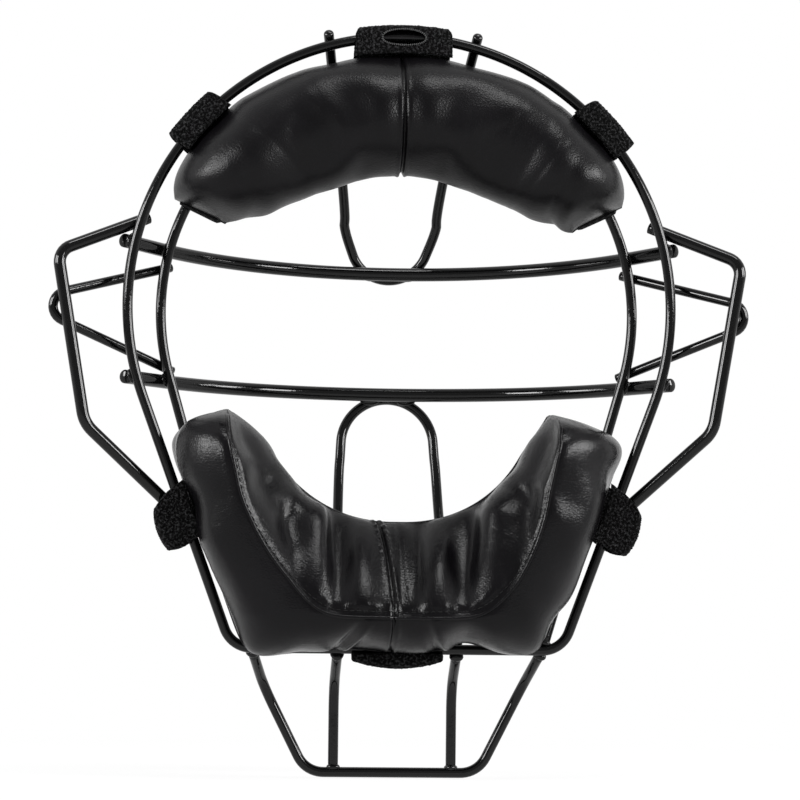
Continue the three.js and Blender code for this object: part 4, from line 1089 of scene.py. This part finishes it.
def stitches(name, line, out, pitch, length, thick, material=THREAD):
    """One short capsule per stitch: rings of points about the line's direction, thinner and
    sunk towards both ends. "out" is the way it stands off the cloth."""
    walked = walked_along(line)
    at = np.arange(pitch / 2, walked[-1], pitch)
    spot = read_at(line, walked, at)
    way = unit(read_at(line, walked, at + 0.3) - read_at(line, walked, at - 0.3))
    up = unit(read_at(out, walked, at))
    side = unit(np.cross(way, up))
    run = np.linspace(-1, 1, 6)
    turn = np.linspace(0, 2 * math.pi, 6, endpoint=False)
    girth = thick / 2 * np.sqrt(np.maximum(0.06, 1 - run ** 4))
    rise = thick * 0.25 * (1 - run ** 2) - thick * 0.2 * run ** 4
    points = (spot[:, None, None] + way[:, None, None] * (run * length / 2)[None, :, None, None]
              + up[:, None, None] * (rise[None, :, None, None]
                                     + (girth[:, None] * np.sin(turn))[None, :, :, None])
              + side[:, None, None] * (girth[:, None] * np.cos(turn))[None, :, :, None])
    grid = np.arange(points[..., 0].size).reshape(points.shape[:3])
    faces = ring_faces(grid[:, :-1].reshape(-1, turn.size), grid[:, 1:].reshape(-1, turn.size))
    faces += grid[:, 0, ::-1].tolist() + grid[:, -1].tolist()
    piece = make_piece(name, points, faces, material)
    finish_mesh(piece)
    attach(piece, "mask")


lip_line, lip_out = edge_lip("forehead_pad_sewn_edge", FOREHEAD, proud=1.5,
                             vinyl_used=FOREHEAD_VINYL)
stitches("forehead_edge_stitches", lip_line + lip_out * 0.6 + [0, -0.05, 0],
         0 * lip_line + [0, -1.0, 0], pitch=3.4, length=2.5, thick=0.6)


# The chin pad: a thick crescent of foam in a glossier vinyl. Two side panels stand up from
# the back panel, two softer face panels lie against the chin, and a corded seam joins them.
CHIN_REST = REAR["depth"] - HOOP_WIRE / 2 - GAP
# The last two rows are this pad's own: how high it stands, its hollow's radius and what that
# gains towards the ends, its ridge's radius at the side, what that gains towards the middle
# and how far it is askew, how far the ridge lies above the bottom bar, and where the back
# panel leaves the bottom bar and where it reaches the front hoop.
CHIN = dict(
    centre=-52.0, up=-1, end=math.radians(93.5), end_round=math.radians(20),
    outer_corner=(0.34, 5), inner_corner=(0.9, 2.4), seam_dip=2.0, seam_wide=8.0, drawn=2.0,
    drawn_power=5, slant=math.radians(8), side_rise=(1.6, 0.66), face_rise=(1.35, 0.85),
    tall=35.0, hollow=44.0, hollow_more=14.0, ridge_side=74.5, ridge_more=36.0, askew=4.2,
    ridge_up=13.9, flat_band=15.2, cheek_level=-60.0)
CHIN_VINYL = vinyl("chin_vinyl", 0.21, 0.27)


def blend_less(a, b, sharpness=30):
    """The smaller of two lengths, rounded off where they are nearly alike."""
    return (a ** -sharpness + b ** -sharpness) ** (-1 / sharpness)


def chin_outer(angle):
    """The side follows the rear hoop, just inside its wire. The floor lies on the bottom bar
    and sags, most at its corners, is caught up to the right of the middle, and the right
    corner is drawn in. Each of these is a bell over the angle in degrees."""
    x, level = shoulder(REAR)
    slope = math.tan(REAR["taper"])
    inset = (HOOP_WIRE / 2 + 2 * GAP) / math.cos(REAR["taper"])
    turn = np.abs(angle)
    side = (x - inset - slope * (level - CHIN["centre"])) / (np.sin(turn) + slope * np.cos(turn))
    degrees = np.degrees(angle)
    sag = (3.0 + 2.2 * bump_at(np.abs(degrees) - 31, 6) - 4.6 * bump_at(degrees - 17, 5.5)
           - 1.5 * bump_at(degrees + 12, 5))
    floor = (CHIN["centre"] - BAR_LEVEL + sag) / np.maximum(np.cos(turn), 0.014)
    return blend_less(side, floor) - 7.0 * bump_at(degrees - 36, 6)


def chin_inner(angle):
    """The hollow's radius, which grows towards the ends by a power of the angle."""
    share = np.abs(angle) / math.radians(80)
    return CHIN["hollow"] + CHIN["hollow_more"] * share ** 1.6


def chin_ridge(angle):
    """The corded seam's radius: along the sides it grows towards the middle, and lies further
    in on the right. Along the floor it keeps level, above the bottom bar."""
    turn = np.abs(angle)
    low = np.maximum(1 - turn / math.radians(75), 0)
    high = np.clip((turn - 0.6) / 0.5, 0, 1)
    side = (CHIN["ridge_side"] + CHIN["ridge_more"] * low ** 1.5
            - CHIN["askew"] * np.sign(angle) * high)
    floor = (CHIN["centre"] - BAR_LEVEL - CHIN["ridge_up"]) / np.maximum(np.cos(turn), 0.014)
    return blend_less(side, floor)


def chin_base(z):
    """The back panel's inner face: on the bottom bar up to the flat band's end, then evenly
    forward to the front hoop's depth, which it reaches at the cheeks."""
    low = BAR_LEVEL + CHIN["flat_band"]
    share = np.clip((z - low) / (CHIN["cheek_level"] - low), 0, 1)
    return CHIN_REST + (PAD_REST - CHIN_REST) * share - BACK_UP


def chin_height(angle):
    """The ridge lies in one plane, so the pad's height follows its base at the ridge."""
    return chin_base(CHIN["centre"] - chin_ridge(angle) * np.cos(angle)) + CHIN["tall"]


CHIN.update(outer=chin_outer, inner=chin_inner, ridge=chin_ridge, base=chin_base,
            height=chin_height)


def chin_held(along, across, points):
    """The cover is sewn down along both rims, the corded seam and the centre seam."""
    return ((across <= 0.02) | (across >= 1.98) | (np.abs(across - 1) < 0.05)
            | (np.abs(points[..., 0]) < 0.5))


def face_seam_x(across):
    """The face's centre seam swings to the left by a power of the way up from the cord."""
    return -3.6 - 7.0 * np.clip(across - 1, 0, 1) ** 1.2


# A fold of the face has its X at the corded seam and at the inner rim, a height, a half width,
# and the share of the way up at which it is highest. A crease of the side panels has its X at
# the corded seam and at the outer rim, a height and a half width.
FACE_FOLDS = (
    (-49, -46, -4.2, 6.4, 0.42), (-39, -35, 3.4, 6.6, 0.40), (-29.5, -29, -3.4, 4.0, 0.5),
    (-18.5, -17, 3.8, 6.8, 0.38), (5, 10, -3.0, 4.0, 0.5), (14, 23, 3.4, 6.2, 0.42),
    (26, 35, -3.8, 5.0, 0.45), (40, 51, 5.0, 8.4, 0.42), (54, 64, -3.2, 6.0, 0.45))
SIDE_CREASES = ((-14.5, -27, 1.5, 2.2), (-17, -31, -1.4, 2.6), (13, 24, 1.4, 2.4),
                (9.5, 19, -1.5, 2.8), (-40, -46, -0.6, 5), (38, 46, 0.6, 6))


def chin_seams(across, x, z):
    """Each centre seam is a groove between two raised lips, all three bells across the seam.
    The face's seam is gathered: short waves over the height stand beside its groove."""
    on_face = across > 1
    seam = x - face_seam_x(across)
    gather = 0.3 * np.sin(z * 2.3 + np.sin(z * 0.7)) * bump_at(np.abs(seam) - 1.9, 1.1)
    face = 0.6 * bump_at(np.abs(seam) - 1.8, 0.9) - 1.7 * bump_at(seam, 0.7) + gather
    low = x + 4.0
    band = 0.6 * bump_at(np.abs(low) - 1.6, 0.9) - 1.8 * bump_at(low, 0.7)
    return on_face * face + (1 - on_face) * (z < -110) * band


def chin_folds(along, across, points):
    """Folds of the face run from the corded seam, at 0, to the inner rim, at 1. Each is a bell
    across X, its middle moves evenly between its two places, and its height swells and dies
    away smoothly about its highest place. The cheeks have one long dent. The side panels have
    slanting creases low down, slow waves, and bulges over the hoop, larger on the left. A fine
    pucker and a groove follow the corded seam."""
    x, z = points[..., 0], points[..., 2]
    on_face = (across > 1) * 1.0
    face, side = np.clip(across - 1, 0, 1), np.clip(1 - across, 0, 1)
    lift = chin_seams(across, x, z)
    central = np.clip((-z - 78) / 16, 0, 1)
    for start, end, size, width, peak in FACE_FOLDS:
        full = np.clip(1 - np.abs(face - peak) / 0.6, 0, 1)
        full = full * full * (3 - 2 * full) * np.clip(face / 0.06, 0, 1)
        middle = start + (end - start) * face
        lift = lift + on_face * central * size * bump_at(x - middle, width) * full
    band = np.sin(side * math.pi) ** 0.6 * (1 - on_face) * (z < -120)
    for start, end, size, width in SIDE_CREASES:
        lift = lift + band * size * bump_at(x - start - (end - start) * side, width)
    share = np.abs(along)
    cheek = np.clip((share - 0.28) / 0.15, 0, 1) * np.clip((0.97 - share) / 0.1, 0, 1)
    dent = -1.8 * bump_at(face - 0.30, 0.13) + 0.8 * bump_at(face - 0.6, 0.16)
    broad = 0.5 * np.sin(along * 21 + 2.0 * across) + 0.35 * np.sin(along * 37 - 3 * across + 1)
    lift = lift + on_face * cheek * dent + (1 - on_face) * broad * np.sin(side * math.pi) ** 0.7
    proud = np.clip((-points[..., 1] - 2.6) / 9.0, 0, 1) * np.clip(side / 0.4, 0, 1)
    left = 3.4 * bump_at(z + 110, 24) + 3.0 * bump_at(z + 68, 22)
    lift = lift + proud * np.where(x < 0, left, 2.6 * bump_at(z + 94, 13))
    pucker = 0.08 * np.sin(x * 1.45 + 0.6 * np.sin(x * 0.31)) * bump_at(across - 1.06, 0.035)
    return lift + pucker - 0.7 * bump_at(across - 1.035, 0.022)


chin, chin_skin, chin_out = cushion(
    "chin_pad_cushion", CHIN, coarse=(56, 26), fine=(220, 110), held_rule=chin_held,
    folds=chin_folds, cap=3.5, vinyl_used=CHIN_VINYL)
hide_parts("chin_foam", "chin_back_panel", "chin_side_panel_left",
            "chin_side_panel_right", "chin_face_panel_left", "chin_face_panel_right")


# The corded seam of the chin pad: a thin cord in a strip of vinyl, caught between the side
# and face panels and standing proud of both, with a row of stitches sunk beside it. Round the
# pad's back the panels' cut edges stand out as a lip, as on the forehead pad.
def seam_line(skin, out, at, proud):
    """The skin's line at a place between outer rim, 0, and inner rim, 2, moved out along its
    own normals, without the last rows at both ends."""
    column = round(at / 2 * (skin.shape[1] - 1))
    kept = slice(14, -14)
    return skin[kept, column] + out[kept, column] * proud, out[kept, column]


cord_line, _ = seam_line(chin_skin, chin_out, 1.0, -0.1)
cord = wire("chin_pad_corded_seam", cord_line, 1.7, (0.03, 1, 0.02), dome=0.9, sides=12,
            material=CHIN_VINYL)
stitches("chin_seam_stitches", *seam_line(chin_skin, chin_out, 1.045, 0.1), pitch=3.0,
         length=2.0, thick=0.4)
edge_lip("chin_pad_sewn_edge", CHIN, proud=0.5, vinyl_used=CHIN_VINYL)


# The crown tab: a strip of fuzzy hook-and-loop tape sewn to the forehead pad's top edge. It
# wraps behind the rear hoop's wire, folds over it and closes in front. An oval slot for a head
# strap is cut in it and oversewn with grey thread.
TAPE, FLAT_CLEAR = 2.0, HOOP_WIRE / 2 + GAP
NEAR, FAR = -FLAT_CLEAR - TAPE / 2, FLAT_CLEAR + GAP + TAPE / 2
TAPE_ROWS, TAPE_COLUMNS = 90, 64
UP = np.array([0.0, 0.0, 1.0])
CROWN_TAB = dict(half_wide=22.2, fold=3.3, bend=1.6, turn_out=-1.5, sag=0.0034)
SLOT = dict(half_wide=10.0, tall=7.4, below=0.7)


def nap():
    """Fuzzy loop tape: matt black fibre, mottled dark and grey, with a rough nap."""
    material, nodes, links, shader, place = plain_material("black_loop_tape", 0.05)
    shader.inputs["Roughness"].default_value = 0.95
    shader.inputs["Sheen Weight"].default_value = 0.01
    shader.inputs["Sheen Roughness"].default_value = 0.5
    tufts = add_node(nodes, "TexNoise", {"Scale": 900, "Detail": 5})
    curls = add_node(nodes, "TexNoise", {"Scale": 2300, "Detail": 3})
    bump = add_node(nodes, "Bump", {"Strength": 1, "Distance": 0.0006})
    tint = add_node(nodes, "ValToRGB")
    dark, light = tint.color_ramp.elements
    dark.position, dark.color = 0.48, (0.0007, 0.0007, 0.0007, 1)
    light.position, light.color = 0.74, (0.03, 0.03, 0.031, 1)
    for texture in (tufts, curls):
        links.new(place, texture.inputs["Vector"])
    links.new(tufts.outputs["Fac"], tint.inputs["Fac"])
    links.new(tint.outputs["Color"], shader.inputs["Base Color"])
    links.new(curls.outputs["Fac"], bump.inputs["Height"])
    links.new(bump.outputs["Normal"], shader.inputs["Normal"])
    return material


NAP = nap()


def tab_run(corners, radius):
    """A tab's middle line in (out, depth): straight runs joined by round bends, evenly cut."""
    soft = bent([(out, depth, 0) for out, depth in corners], radius, 10)
    walked = walked_along(soft)
    return read_at(soft[:, :2], walked, np.linspace(0, walked[-1], TAPE_ROWS))


def tape(name, run_at, half_wide, origin, out, sag, seed, taper=0.0, skew=0.0):
    """A strip as thick as the tape along its middle line, which may change across its width.
    Its section is a flat oval, its ends are rounded off, and every point of the nap stands
    off by a small amount drawn from a seeded list. "sag" bends the strip round the hoop,
    "taper" narrows it towards the fold and "skew" slides it sideways on the way there."""
    depth = np.array([0.0, 1.0, 0.0])
    wide_way = np.cross(out, depth)
    wide_way = wide_way * (1 if wide_way[2] >= 0 else -1)
    wide = np.linspace(-1, 1, TAPE_COLUMNS) * half_wide
    lines = np.stack([run_at(w) for w in wide], 1)
    way = unit(np.gradient(lines, axis=0))
    normal = np.stack([-way[..., 1], way[..., 0]], -1)
    edge = np.minimum(1, (half_wide - np.abs(wide)) / 0.8)
    row = np.arange(TAPE_ROWS)
    end = np.minimum(1, np.minimum(row, row[::-1]) / 2.0)
    thick = TAPE / 2 * np.sqrt(1 - (1 - edge[None]) ** 2 * 0.8) * np.sqrt(
        1 - (1 - end[:, None]) ** 2 * 0.8)
    chance = np.random.default_rng(seed)
    layers = []
    for sign in (1, -1):
        fuzz = chance.normal(0, 0.11, (TAPE_ROWS, TAPE_COLUMNS))
        place = lines + normal * (sign * (thick + fuzz - 0.1))[..., None]
        drop = sag * wide[None] ** 2
        share = np.clip(place[..., 0] / lines[..., 0].max(), 0, 1)
        slide = wide[None] * (1 - taper * share ** 3) - skew * place[..., 0]
        layers.append(origin + (place[..., 0] - drop)[..., None] * out
                      + place[..., 1][..., None] * depth + slide[..., None] * wide_way
                      + chance.normal(0, 0.06, (TAPE_ROWS, TAPE_COLUMNS, 3)))
    grid = np.arange(2 * TAPE_ROWS * TAPE_COLUMNS).reshape(2, TAPE_ROWS, TAPE_COLUMNS)
    faces = []
    for layer, turn in zip(grid, (1, -1)):
        quads = np.stack([layer[:-1, :-1], layer[1:, :-1], layer[1:, 1:], layer[:-1, 1:]], -1)
        faces += quads.reshape(-1, 4)[:, ::turn].tolist()
    rim = np.concatenate([grid[:, 0, :].T, grid[:, 1:, -1].T, grid[:, -1, -2::-1].T,
                          grid[:, -2:0:-1, 0].T])
    there = np.roll(rim, -1, 0)
    faces += np.stack([rim[:, 0], there[:, 0], there[:, 1], rim[:, 1]], -1).tolist()
    piece = make_piece(name, layers, faces, NAP)
    finish_mesh(piece)
    return piece


def finish_tab(piece):
    """The strip's placement is baked into its points. It bends over the wire, from just behind
    it to just in front. The fold lies "fold" out from it."""
    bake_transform(piece)


def head_run(edge, fold, turn_out):
    """The corners of a tab on the forehead pad, each a length out from the hoop's wire and a
    depth: from under the pad's edge out behind the wire, over it and back in front of it, then
    down past the pad's edge and on to its back panel."""
    tuck, drop, drop_depth, reach = 1.5, 1.5, 8.0, 5.9
    far_out = fold + TAPE / 2
    return [(edge - tuck, NEAR), (far_out, NEAR), (far_out, FAR), (turn_out, FAR),
            (edge + drop, drop_depth), (edge - reach, PAD_REST + GAP + TAPE / 2)]


def cut_slot(piece, half_wide, tall, level, depth):
    """A flat oval hole, cut with a prism of that outline: half its width times the cosine of
    an angle, and half its height times the sine, a little squared. Returns the outline."""
    turn = np.linspace(0, 2 * math.pi, 48, endpoint=False)
    x = half_wide * np.cos(turn)
    z = level + tall / 2 * squared_off(np.sin(turn), 0.85)
    rings = [np.stack([x, 0 * x + y, z], 1) for y in depth]
    grid = np.arange(2 * turn.size).reshape(2, -1)
    faces = ring_faces(grid[:1], grid[1:]) + [grid[0][::-1].tolist(), grid[1].tolist()]
    cutter = make_piece("slot_cutter", rings, faces, NAP)
    cutter.data.shade_flat()
    finish_mesh(cutter)
    cut = piece.modifiers.new("slot", "BOOLEAN")
    cut.operation, cut.object, cut.solver = "DIFFERENCE", cutter, "EXACT"
    shown = piece.evaluated_get(bpy.context.evaluated_depsgraph_get())
    solid = bpy.data.meshes.new_from_object(shown)
    piece.modifiers.clear()
    piece.data = solid
    bpy.data.objects.remove(cutter)
    return rings[0]


crown_edge = float(forehead_outer(0.0)) - REAR["radius"]
crown_corners = head_run(crown_edge, CROWN_TAB["fold"], CROWN_TAB["turn_out"])
crown = tape("forehead_center_tab", lambda w: tab_run(crown_corners, CROWN_TAB["bend"]),
             CROWN_TAB["half_wide"], UP * REAR["radius"], UP, CROWN_TAB["sag"], seed=11,
             taper=0.05)
slot_ring = cut_slot(crown, SLOT["half_wide"], SLOT["tall"], REAR["radius"] - SLOT["below"],
                     depth=(NEAR - TAPE, NEAR + 0.95 * TAPE))
finish_tab(crown)
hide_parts("forehead_tab_center", "forehead_tab_center_flap")
slot_ring = np.concatenate([slot_ring, slot_ring[:1]])
slot_ring[:, 1] = NEAR - TAPE / 2
slot_ring[:, 2] -= CROWN_TAB["sag"] * slot_ring[:, 0] ** 2
slot_ring = even_steps(slot_ring, 0.4)
stitches("crown_slot_whipping", slot_ring, 0 * slot_ring + [0, -1.0, 0], pitch=0.9,
         length=0.75, thick=0.9, material=thread("grey_thread", 0.02, 0.07))


# The two brow tabs: narrower strips of the same tape, sewn to the forehead pad's edge on
# either side of the crown. Each ties the pad to the rear hoop and lies a little askew.
BROW_TAB = dict(angle=math.radians(48), half_wide=14.1, fold=5.5, bend=2.0, turn_out=-1.2,
                sag=0.0035)
brow_edge = float(forehead_outer(BROW_TAB["angle"])) - REAR["radius"]
brow_corners = head_run(brow_edge, BROW_TAB["fold"], BROW_TAB["turn_out"])
for word, sign in SIDES:
    out = np.array([sign * math.sin(BROW_TAB["angle"]), 0, math.cos(BROW_TAB["angle"])])
    tab = tape(f"forehead_{word}_tab", lambda w: tab_run(brow_corners, BROW_TAB["bend"]),
               BROW_TAB["half_wide"], out * REAR["radius"], out, BROW_TAB["sag"],
               seed=20 + sign, taper=0.06, skew=0.12)
    finish_tab(tab)
    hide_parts(f"forehead_tab_{word}", f"forehead_tab_{word}_flap")


# The chin pad's middle tab: the same tape, sewn to the pad's low edge. It wraps under the
# bottom bar and closes in front of it, and its fold hangs lowest in the middle of its width.
HEM_TAB = dict(half_wide=20.5, fold=3.4, hang=3.4, bend=1.6, tuck=1.2, turn_out=-4.0,
               drop_out=-8.0, end_out=-15.0)
hem_edge = float(chin_outer(0.0)) - (CHIN["centre"] - BAR_LEVEL)


def hem_run(wide):
    """The tab's middle line at a place across its width: the fold hangs lower in the middle,
    by a length that falls away with the square of that place."""
    fold = HEM_TAB["fold"] + HEM_TAB["hang"] * (1 - (wide / HEM_TAB["half_wide"]) ** 2)
    far_out = fold + TAPE / 2
    corners = [(hem_edge - HEM_TAB["tuck"], NEAR), (far_out, NEAR), (far_out, FAR),
               (HEM_TAB["turn_out"], FAR), (HEM_TAB["drop_out"], 0),
               (HEM_TAB["end_out"], CHIN_REST + GAP + TAPE / 2)]
    return tab_run(corners, HEM_TAB["bend"])


hem_origin = np.array([0, REAR["depth"], BAR_LEVEL])
hem = tape("chin_center_tab", hem_run, HEM_TAB["half_wide"], hem_origin, -UP, 0.0, seed=31)
finish_tab(hem)
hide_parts("chin_tab_center", "chin_tab_center_flap")


# The two jaw tabs: the same tape, sewn to the chin pad's sides. Each wraps one side of the
# rear hoop and the ear guard's low weld, narrows towards its fold and hangs a little askew.
JAW_TAB = dict(level=EAR["low_weld"] + 4, half_wide=13.0, fold=12.2, bend=2.0, sag=0.012,
               tuck=1.0, side_depth=7.0, over_weld=(8.5, 10.1), top_out=-2.0, end_out=-7.4)


def pad_back_depth(wide, out):
    """The depth at which the jaw tab lies on the chin pad's sloping back panel, for a place
    across its width and a length out from the hoop."""
    level = JAW_TAB["level"] + wide * math.cos(REAR["taper"]) - out * math.sin(REAR["taper"])
    return float(chin_base(np.array(level))) + BACK_UP + GAP + TAPE / 2


def jaw_run(wide):
    """The tab's middle line at a place across its width: out behind the wire, past the ear
    guard's weld and over it, and down on to the pad's back panel."""
    far_out = JAW_TAB["fold"] + TAPE / 2
    top = max(JAW_TAB["over_weld"][1], pad_back_depth(wide, JAW_TAB["top_out"]))
    end = pad_back_depth(wide, JAW_TAB["end_out"])
    corners = [(-HOOP_WIRE / 2 - 2 * GAP - JAW_TAB["tuck"], NEAR), (far_out, NEAR),
               (far_out, JAW_TAB["side_depth"]), JAW_TAB["over_weld"],
               (JAW_TAB["top_out"], top), (JAW_TAB["end_out"], end)]
    return tab_run(corners, JAW_TAB["bend"])


for word, sign in SIDES:
    out = np.array([sign * math.cos(REAR["taper"]), 0, -math.sin(REAR["taper"])])
    origin = np.array([sign * half_width(REAR, JAW_TAB["level"]), REAR["depth"],
                       JAW_TAB["level"]])
    tab = tape(f"chin_{word}_tab", jaw_run, JAW_TAB["half_wide"], origin, out, JAW_TAB["sag"],
               seed=40 + sign, taper=0.22, skew=0.3)
    finish_tab(tab)
    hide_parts(f"chin_tab_{word}", f"chin_tab_{word}_flap")
